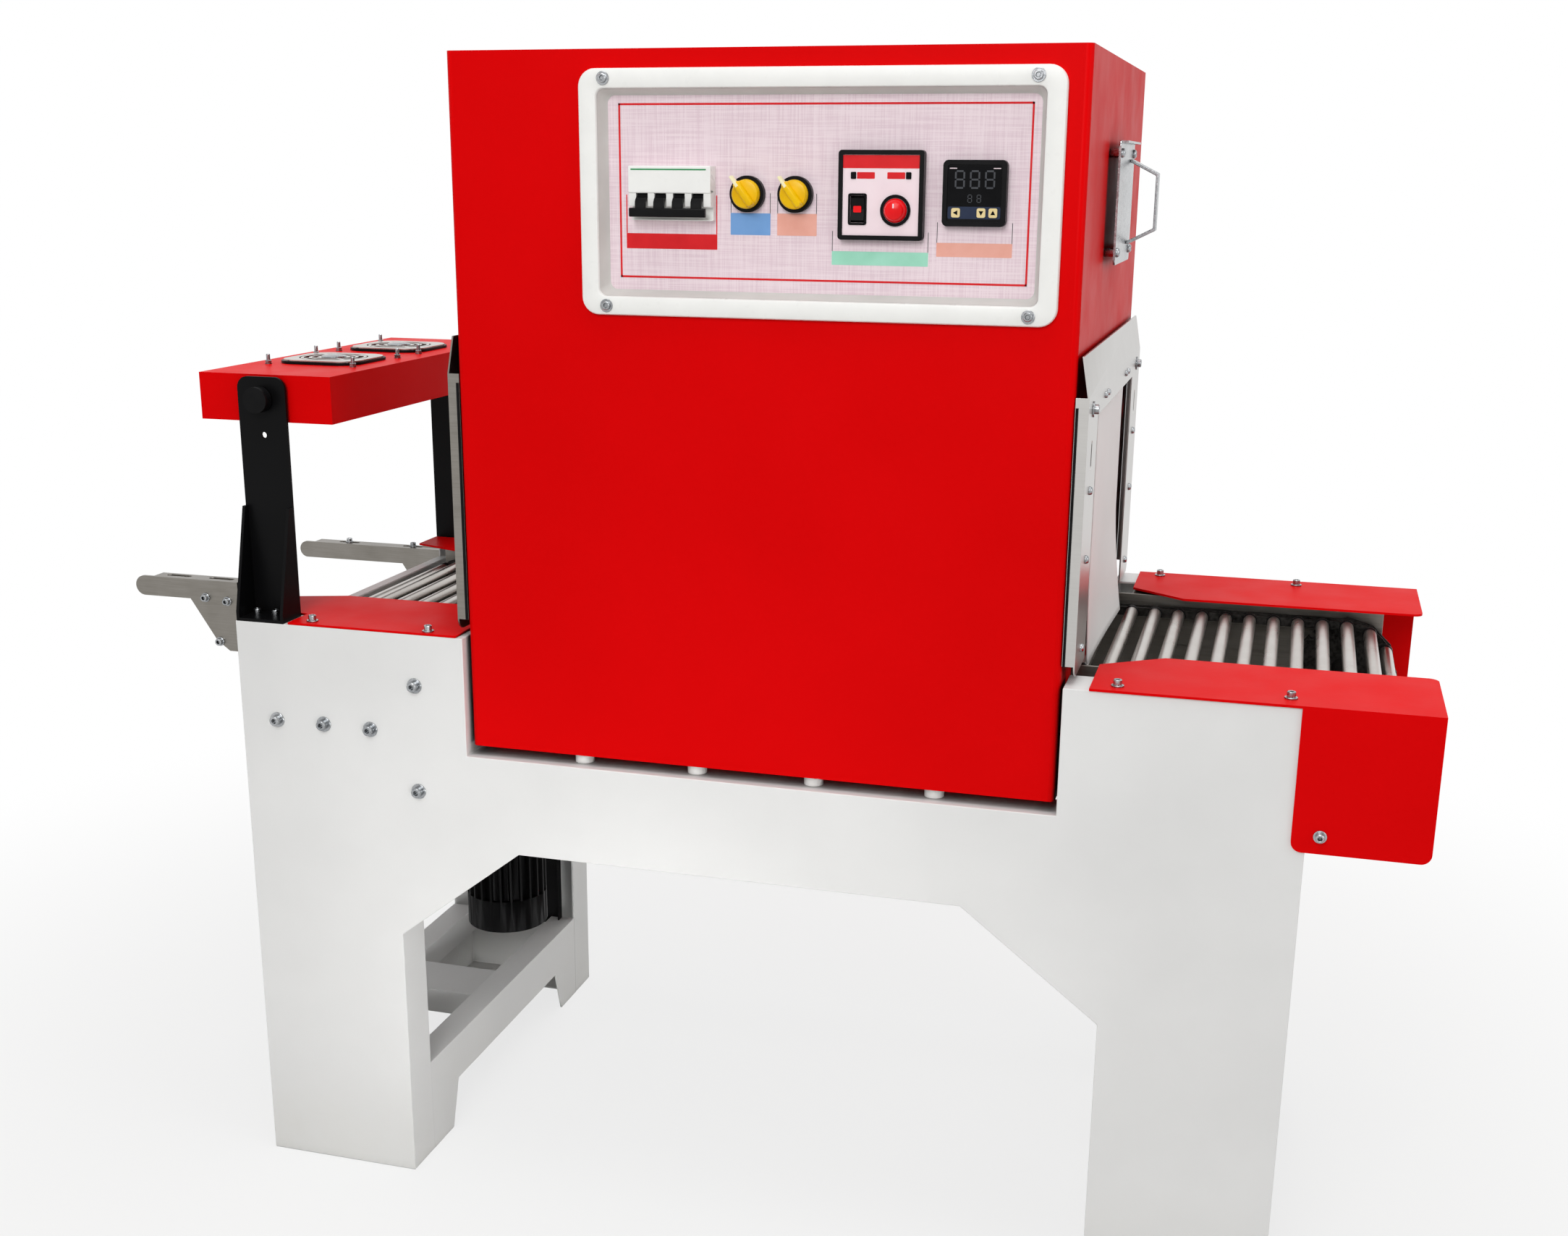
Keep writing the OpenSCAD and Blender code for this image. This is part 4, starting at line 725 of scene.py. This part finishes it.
# %% Curtains
SHEET_LENGTH, SHEET_THICK = 331.0, 2.0
ACROSS, ALONG = 36, 40  # faces across and down a sheet
HEAD_IN = 1.5  # from the solid's inner side to the sheet's head
BEND_AT, BEND_DRIFT, BEND_POWER = 0.60, 0.05, 1.6  # shares of the length, and how fast the bend grows
BEND_TURN, WAVE_TURN = 5.0, 4.0  # radians of the bend's drift and of the slow waves across a sheet
WAVE, WAVE_START, WAVE_FALL = 0.8, 60, 150  # height, how far down it is full, and mm down for each radian
PUSH, FRONT_PUSH = 13.0, 0.3  # how far the foot swings at the rear corner, and its share at the front corner


def curtain(name, node, width, push, phase):
    """A hanging sheet of a given width whose foot swings out by push millimetres along the conveyor."""
    low, high = span(node)
    head_x = low.x + HEAD_IN
    rows = []
    for j in range(ALONG + 1):
        row = []
        down = SHEET_LENGTH * j / ALONG
        for i in range(ACROSS + 1):
            u = i / ACROSS
            swing = push * (FRONT_PUSH + (1 - FRONT_PUSH) * u)
            start = SHEET_LENGTH * (BEND_AT + BEND_DRIFT * math.sin(BEND_TURN * u + phase))
            bent = max(0.0, (down - start) / (SHEET_LENGTH - start))
            x = head_x + swing * bent ** BEND_POWER
            slide = 1.0 - math.sqrt(max(0.0, 1 - (swing / (SHEET_LENGTH - start)) ** 2))
            z = high.z - down + slide * (SHEET_LENGTH - start) * bent
            ease = min(1.0, down / WAVE_START)
            x += ease * WAVE * math.sin(WAVE_TURN * (u + phase) + down / WAVE_FALL)
            row.append((x, low.y + u * width, z))
        rows.append(row)
    count = ACROSS + 1
    points = [p for row in rows for p in row]
    faces = [[j * count + i, j * count + i + 1, (j + 1) * count + i + 1, (j + 1) * count + i]
             for j in range(ALONG) for i in range(ACROSS)]
    piece = make(name, [(points, faces)], "white_silicone", replaces=(node,))
    thick = piece.modifiers.new("sheet_thickness", "SOLIDIFY")
    thick.thickness, thick.offset = SHEET_THICK * MM, 0.0
    return piece


SHEETS = (("exit_curtain_sheet", "exit_curtain", 300.0, 0.15, "exit_frame"),
          ("entry_curtain_sheet", "entry_curtain", 370.0, 0.55, "entry_frame"))
for name, node, width, phase, holder in SHEETS:
    sheet = curtain(name, node, width, PUSH, phase)

# %% [markdown]
# ## Side plate
# A cover plate with a strip handle closes an opening in the exit wall. It is held by a pan-head screw near
# each corner. An array modifier could repeat the screw, but a loop over corners measured on the solid keeps
# every one at the same inset.

# %% Side plate screws
CORNER, PLATE_RISE = 14, 14.5  # in from the plate's edges, and from the wall to its face
low, high = span("side_plate")
shells = []
for y in (low.y + CORNER, high.y - CORNER):
    for z in (low.z + CORNER, high.z - CORNER):
        shells += put(dome_screw(11, 4), (low.x + PLATE_RISE, y, z), "right")
make("side_plate_screws", shells, "zinc_plated_steel")

# %% [markdown]
# ## Fan bar
# Each fan is held by four studs that stand up at its corners, with a nut on each. A black rubber seal lies
# round it under its guard, and a bright cap covers the middle of the guard. Each kind could be a linked copy
# of one mesh, but all the studs, seals or caps in one mesh are one piece with one name. All of it tilts with
# the bar, so it rides on the bar's body.

# %% Fan studs, seals and caps
STUD_OUT = 63  # from the fan's middle, along and across
low, high = span("fan_guards")
bar_top = span("fan_bar")[1].z
middle = (low.x + high.x) / 2
reach = (high.x - low.x) / 2
fans = (low.y + reach, high.y - reach)
stud = [turned([(4.6, 0), (4.6, 1.2)]), turned([(2.6, 1.2), (2.6, 12.5), (2.0, 13.2)]),
        loft([(circle(4.6, 6), 1.2), (circle(4.6, 6), 4.8), (circle(4.1, 6), 5.3)])]
places = [(middle + sx * STUD_OUT, y + sy * STUD_OUT, bar_top)
          for y in fans for sx in (-1, 1) for sy in (-1, 1)]
make("fan_studs", at_each(stud, places, "top"), "zinc_plated_steel", "fan_bar_body")
outside, inside = rounded(118, 118, 30), rounded(98, 98, 46)
seal = loft([(outside, 0.2), (outside, 3.6), (inside, 3.6), (inside, 0.2)], ring=True)
make("fan_seals", at_each([seal], [(middle, y, bar_top) for y in fans], "top"),
     "black_plastic", "fan_bar_body")
cap = turned([(16, 0), (17, 0.4), (16.5, 1.4), (12, 2.6), (5, 3.2)], 32)
make("fan_caps", at_each([cap], [(middle, y, high.z) for y in fans], "top"),
     "zinc_plated_steel", "fan_bar_body")

# %% [markdown]
# ## Control panel
# The bezel is one moulding: a rounded rim that stands proud of the wall, with a shoulder that slopes down to
# the panel inside, greyed as painted shade. A loft round each cross-section gives the soft edges. A texture
# could carry the panel's print, but thin plates stay sharp from close by: a red border line and the coloured
# bands under the units, left plain.

# %% Bezel
low, high = span("control_bezel")
bezel_x, bezel_z = (low.x + high.x) / 2, (low.z + high.z) / 2
bezel_w, bezel_h = high.x - low.x, high.z - low.z
wall = span("tunnel_hood")[0].y
face = span("control_panel")[0].y
sunk = wall - face
# insets from the bezel's outer edge, and rises from the wall
RIM = [(0.0, 0.0), (0.0, 5.0), (1.2, 7.2), (3.6, 8.0), (19.0, 8.0), (20.8, 7.3), (21.6, 5.6), (22.0, 0.0)]
RECESS = [(22.3, sunk + 0.2), (22.3, -0.5), (21.9, 4.2), (26.4, sunk + 2.2), (28.4, sunk + 0.3)]


def frame_round(profile):
    """A closed frame round the panel from inset and rise pairs."""
    sections = [(rounded(bezel_w - 2 * inset, bezel_h - 2 * inset, max(9.0, 20.0 - inset), 8), rise)
                for inset, rise in profile]
    return put([loft(sections, ring=True)], (bezel_x, wall, bezel_z), "front")


make("moulded_bezel", frame_round(RIM), "white_plastic", replaces=("control_bezel",))
# the shoulder is white ABS greyed as painted shade
make("bezel_recess", frame_round(RECESS), "grey_moulded_abs")
RIM_RISE, SCREW_IN, SCREW_DOWN = 8, 31, 10.8  # height of the rim, and the screws in from its edges
out_x, out_z = bezel_w / 2 - SCREW_IN, bezel_h / 2 - SCREW_DOWN
places = [(bezel_x + sx * out_x, wall - RIM_RISE, bezel_z + sz * out_z) for sx in (-1, 1) for sz in (-1, 1)]
make("bezel_screws", at_each(cap_screw(10, 3, 15), places, "front"), "zinc_plated_steel")

# %% Printed border and bands
INK = 0.25  # thickness of a print
PRINT_MIDDLE = 92.0  # the prints' X is counted from a bezel whose middle is here


def flat(x0, z0, x1, z1, rise=INK, r=0.6, base=0.0):
    """A thin plate on the panel between two corners."""
    shape = loft([(rounded(x1 - x0, z1 - z0, r, 3), base), (rounded(x1 - x0, z1 - z0, r, 3), base + rise)])
    return put([shape], ((x0 + x1) / 2, face, (z0 + z1) / 2), "front")


shift = bezel_x - PRINT_MIDDLE
left_x, right_x, low_z, high_z = -143 + shift, 331 + shift, 1213, 1406
BORDER, BRACKET, BRACKET_TALL = 2.2, 0.8, 22  # line widths, and height of the lines beside a band
RED_BAND, RED_LINE, RED_TOP = (-135, 1246, -25, 1263), 1.2, 1306  # its corners, and the lines on its ends
border = flat(left_x, low_z, right_x, low_z + BORDER) + flat(left_x, high_z - BORDER, right_x, high_z)
border += flat(left_x, low_z, left_x + BORDER, high_z) + flat(right_x - BORDER, low_z, right_x, high_z)
x0, z0, x1, z1 = RED_BAND
border += flat(x0 + shift, z0, x1 + shift, z1)
for x in (x0, x1 - RED_LINE):
    border += flat(x + shift, z1, x + RED_LINE + shift, RED_TOP)
make("red_border_and_band", border, "red_screen_ink")
BANDS = (("blue_band", (-9, 1263, 38, 1287), "blue_screen_ink"),
         ("peach_band", (46, 1263, 92, 1287), "peach_screen_ink"),
         ("mint_band", (110, 1232, 220, 1247), "mint_screen_ink"),
         ("second_peach_band", (229, 1243, 313, 1258), "peach_screen_ink"))
lines = []
for name, (x0, z0, x1, z1), paint in BANDS:
    make(name, flat(x0 + shift, z0, x1 + shift, z1), paint)
    for x in (x0, x1 - BRACKET):
        lines += flat(x + shift, z1, x + BRACKET + shift, z1 + BRACKET_TALL)
make("bracket_lines", lines, "grey_screen_ink")

# %% [markdown]
# The main breaker is a row of four narrow units in one white case. Their levers come out of a recess in its
# lower half, and a bar ties them so that they throw together. Boxes with Booleans could give the case's steps,
# but a side profile pulled along the row gives them all in one clean skin. The levers are made the same way.

# %% Main breaker
low, high = span("breaker_body")
bx, bz = (low.x + high.x) / 2, (low.z + high.z) / 2
AXIS_RISE = 13.0  # of the levers' axis from the panel
POLE = 22.2  # pitch of the four units
LEVER_HALF, CLEAR = 6.2, 0.8  # half a lever's width, and the clearance beside it
TIE_ENDS = (-46.5, 44.5)


def row(outline, x0, x1, y=0.0):
    """A side profile in depth and height, pulled along the panel from x0 to x1."""
    return put([loft([(outline, x0), (outline, x1)])], (bx, face + y, bz), "right")


half = (high.x - low.x) / 2
case = [(0, 30), (-19, 30), (-20, 29), (-20, 1), (-19, 0), (-17, 0), (-17, 3.4), (-8, 3.4), (-8, -28.6),
        (-11, -28.6), (-11, -30), (0, -30)]
rib = [(-7.5, 1), (-18.5, 1), (-18.5, -14), (-17.7, -15), (-7.5, -15)]
poles = [(i - 1.5) * POLE for i in range(4)]
shells = row(case[::-1], -half, half)
edges = [-half] + [x + s * (LEVER_HALF + CLEAR) for x in poles for s in (-1, 1)] + [half]
for x0, x1 in zip(edges[::2], edges[1::2]):
    shells += row(rib[::-1], x0, x1)
make("breaker_case", shells, "white_plastic", bevel=0.4, replaces=("breaker_body",))
lever = [(3, 0), (2, 2.2), (0, 3), (-2.2, 2), (-3.4, -1.2), (-5.6, -4.3), (-9.5, -5.2), (-12.4, -9),
         (-13.2, -17), (-8.6, -17), (-7.5, -11), (-4.4, -6.6), (0, -3), (2, -2.2)]
tie = [(-8.6, -16), (-12.6, -16), (-13.6, -17), (-13.6, -25), (-12.6, -26), (-9.5, -26), (-8.6, -25)]
shells = [shell for x in poles for shell in row(lever[::-1], x - LEVER_HALF, x + LEVER_HALF, -AXIS_RISE)]
shells += row(tie[::-1], *TIE_ENDS, -AXIS_RISE)
make("breaker_levers", shells, "black_plastic", "breaker_toggle_body", 0.8,
     ("breaker_toggle",))
make("breaker_line", flat(bx - half + 3, bz + 25.2, bx + half - 5, bz + 26.8, 0.2, 0.5, 20.0),
     "green_screen_ink")

# %% [markdown]
# Each rotary switch has a round yellow handle with a rib to grip, and the end of the rib carries a pale
# pointer that reaches past the black base. The rib narrows upwards, as a moulding does so that it leaves its
# mould. A Boolean could join rib and handle, but shells that overlap look the same and keep clean faces.

# %% Rotary switches
POINTER_TURN = 37  # degrees from upright at rest
for node, body in (("fan_switch_knob", "fan_switch_body"), ("heater_switch_knob", "heater_switch_body")):
    low, high = span(node)
    at = ((low.x + high.x) / 2, high.y, (low.z + high.z) / 2)
    handle = turned([(15.6, 0), (16.2, 1), (15.8, 6), (14.6, 7.6), (11, 8.4)], 40)
    rib = loft([(rounded(9, 33, 3.5), 4), (rounded(8.4, 32, 3.2), 14), (rounded(6.6, 30, 2.6), 16.6),
                (rounded(5, 28, 2.0), 17.2)])
    make(node.replace("knob", "handle"), put([handle, rib], at, "front", POINTER_TURN), "yellow_plastic",
         body, replaces=(node,))
    tip = [(-2.3, 10), (2.3, 10), (1.6, 24), (-1.6, 24)]
    pointer = loft([(tip, 9), ([(x * 0.8, y) for x, y in tip], 17.5)])
    make(node.replace("knob", "pointer"), put([pointer], at, "front", POINTER_TURN), "ivory_moulded_abs",
         body, 0.4)

# %% [markdown]
# The speed unit has a pale face in a black frame with a red header, two signal windows, a rocker and a lit
# knob. The face is cut out round the rocker. A Boolean could cut it, but four strips round the hole give the
# same outline from plain plates.

# %% Speed unit
FRAME_WIDE, FACE_THICK = 3.4, 0.3
low, high = span("speed_controller")
sx, sz = (low.x + high.x) / 2, (low.z + high.z) / 2
half = (high.x - low.x) / 2 - FRAME_WIDE
face_rise = face - span("speed_knob")[1].y - FACE_THICK


def on_unit(x, z, w, h, rise, r=1.0, base=face_rise):
    """A thin plate on a unit's face, round its middle."""
    outline = rounded(w, h, r, 4)
    return put([loft([(outline, base), (outline, base + rise)])], (x, face, z), "front")


def ring(x, z, outer, inner, rise, base=face_rise):
    """A frame between two outlines on a unit's face."""
    shape = loft([(outer, base), (outer, base + rise), (inner, base + rise), (inner, base)], ring=True)
    return put([shape], (x, face, z), "front")


rocker_low, rocker_high = span("power_rocker")
rx, rz = (rocker_low.x + rocker_high.x) / 2, (rocker_low.z + rocker_high.z) / 2
CUT_W, CUT_H = 8.1, 14.5  # half the cut-out round the rocker
cut_left, cut_right = rx - sx - CUT_W, rx - sx + CUT_W
cut_foot, cut_head = rz - sz - CUT_H, rz - sz + CUT_H
strips = [(-half, cut_left, -half, half), (cut_right, half, -half, half),
          (cut_left, cut_right, cut_head, half), (cut_left, cut_right, -half, cut_foot)]
shells = [shell for x0, x1, z0, z1 in strips
          for shell in on_unit(sx + (x0 + x1) / 2, sz + (z0 + z1) / 2, x1 - x0, z1 - z0, FACE_THICK, 0.05)]
make("speed_unit_face", shells, "pink_polyester_film")
PRINT = face_rise + FACE_THICK
shells = on_unit(sx, sz + half - 9, 2 * half - 3, 14, 0.2, 0.8, PRINT)
shells += [shell for x in (-17, 17) for shell in on_unit(sx + x, sz + 21, 20, 7, 0.2, 0.8, PRINT)]
make("speed_unit_header", shells, "red_screen_ink")
shells = [shell for x in (-31, 31) for shell in on_unit(sx + x, sz + 21, 6, 7.5, 0.9, 1.0, PRINT)]
shells += ring(rx, rz, rounded(21, 34, 2.5), rounded(16.4, 29.2, 1.0), 1.2, PRINT)
knob_low, knob_high = span("speed_knob")
kx, kz = (knob_low.x + knob_high.x) / 2, (knob_low.z + knob_high.z) / 2
shells += ring(kx, kz, circle(17, 40), circle(13.6, 40), 2.0, PRINT)
make("speed_unit_trim", shells, "gloss_black_plastic")
dome = turned([(13, 0), (13, 2.4), (12.2, 3.6), (11.2, 8.5), (9.4, 11.2), (6, 12.5), (2, 13)], 40)
make("lit_knob", put([dome], (kx, knob_high.y, kz), "front"), "red_acrylic", "speed_knob_body",
     replaces=("speed_knob",))
mark = loft([(rounded(1.6, 7, 0.7), 12.4), (rounded(1.6, 7, 0.7), 12.9)])
make("knob_mark", put([mark], (kx, knob_high.y, kz + 4), "front"), "pink_polyester_film",
     "speed_knob_body")
lens = loft([(rounded(9, 7, 1.2), 10.6), (rounded(9, 7, 1.2), 11.2)])
make("rocker_lens", put([lens], (rx, face, rz), "front"), "red_acrylic", "power_rocker_body")

# %% [markdown]
# The temperature unit is glossy black with a dim three-figure display and three soft keys on a dark blue
# strip, with a plain arrow on each. A texture could show the figures, but a display makes each of seven bars,
# and bars built as thin plates stay sharp.

# %% Temperature unit
FACE_SUNK, GLASS, STRIP = 2.0, 0.5, 0.4  # depth of the face in its frame, thickness of glass and strip
KEY_Z, KEY_RISE, BAR, MARK = -20.5, 1.2, 0.12, 0.15  # keys from the middle, rises of key, bar and arrow
low, high = span("temperature_controller")
tx, tz = (low.x + high.x) / 2, (low.z + high.z) / 2
t_face = face - low.y - FACE_SUNK
SEGMENTS = [(0, 7, 6, 1.5), (0, 0, 6, 1.5), (0, -7, 6, 1.5), (-3.7, 3.5, 1.5, 5.6), (3.7, 3.5, 1.5, 5.6),
            (-3.7, -3.5, 1.5, 5.6), (3.7, -3.5, 1.5, 5.6)]
make("display_glass", on_unit(tx, tz + 7.5, 58, 42, GLASS, 2.0, t_face), "gloss_black_plastic")
make("key_strip", on_unit(tx, tz + KEY_Z, 58, 13, STRIP, 2.0, t_face), "blue_polyester_film")
figures = []
for size, row_z, places in ((1.25, 14.5, (-16.5, 0, 16.5)), (0.55, -5.5, (-5, 5))):
    for place in places:
        for x, z, w, h in SEGMENTS:
            figures += on_unit(tx + place + x * size, tz + row_z + z * size, w * size, h * size, BAR, 0.4,
                               t_face + GLASS)
make("display_figures", figures, "unlit_epoxy_segment")
KEYS = ((-20, 90), (8, 180), (21, 0))  # places along the strip, and turns of their arrows
arrow = [(-2.6, -2.0), (2.6, -2.0), (0.0, 2.8)]
key_top = t_face + STRIP + KEY_RISE
keys, marks = [], []
for x, turn in KEYS:
    keys += on_unit(tx + x, tz + KEY_Z, 9.5, 10, KEY_RISE, 2.0, t_face + STRIP)
    mark = loft([(arrow, key_top), (arrow, key_top + MARK)])
    marks += put([mark], (tx + x, face, tz + KEY_Z), "front", turn)
make("display_keys", keys, "cream_rubber_key")
make("key_arrows", marks, "gloss_black_plastic")
ticks = [shell for x in (-24, 24) for shell in on_unit(tx + x, tz + 26.2, 8, 0.9, BAR, 0.3, t_face + GLASS)]
make("display_ticks", ticks, "pink_polyester_film")
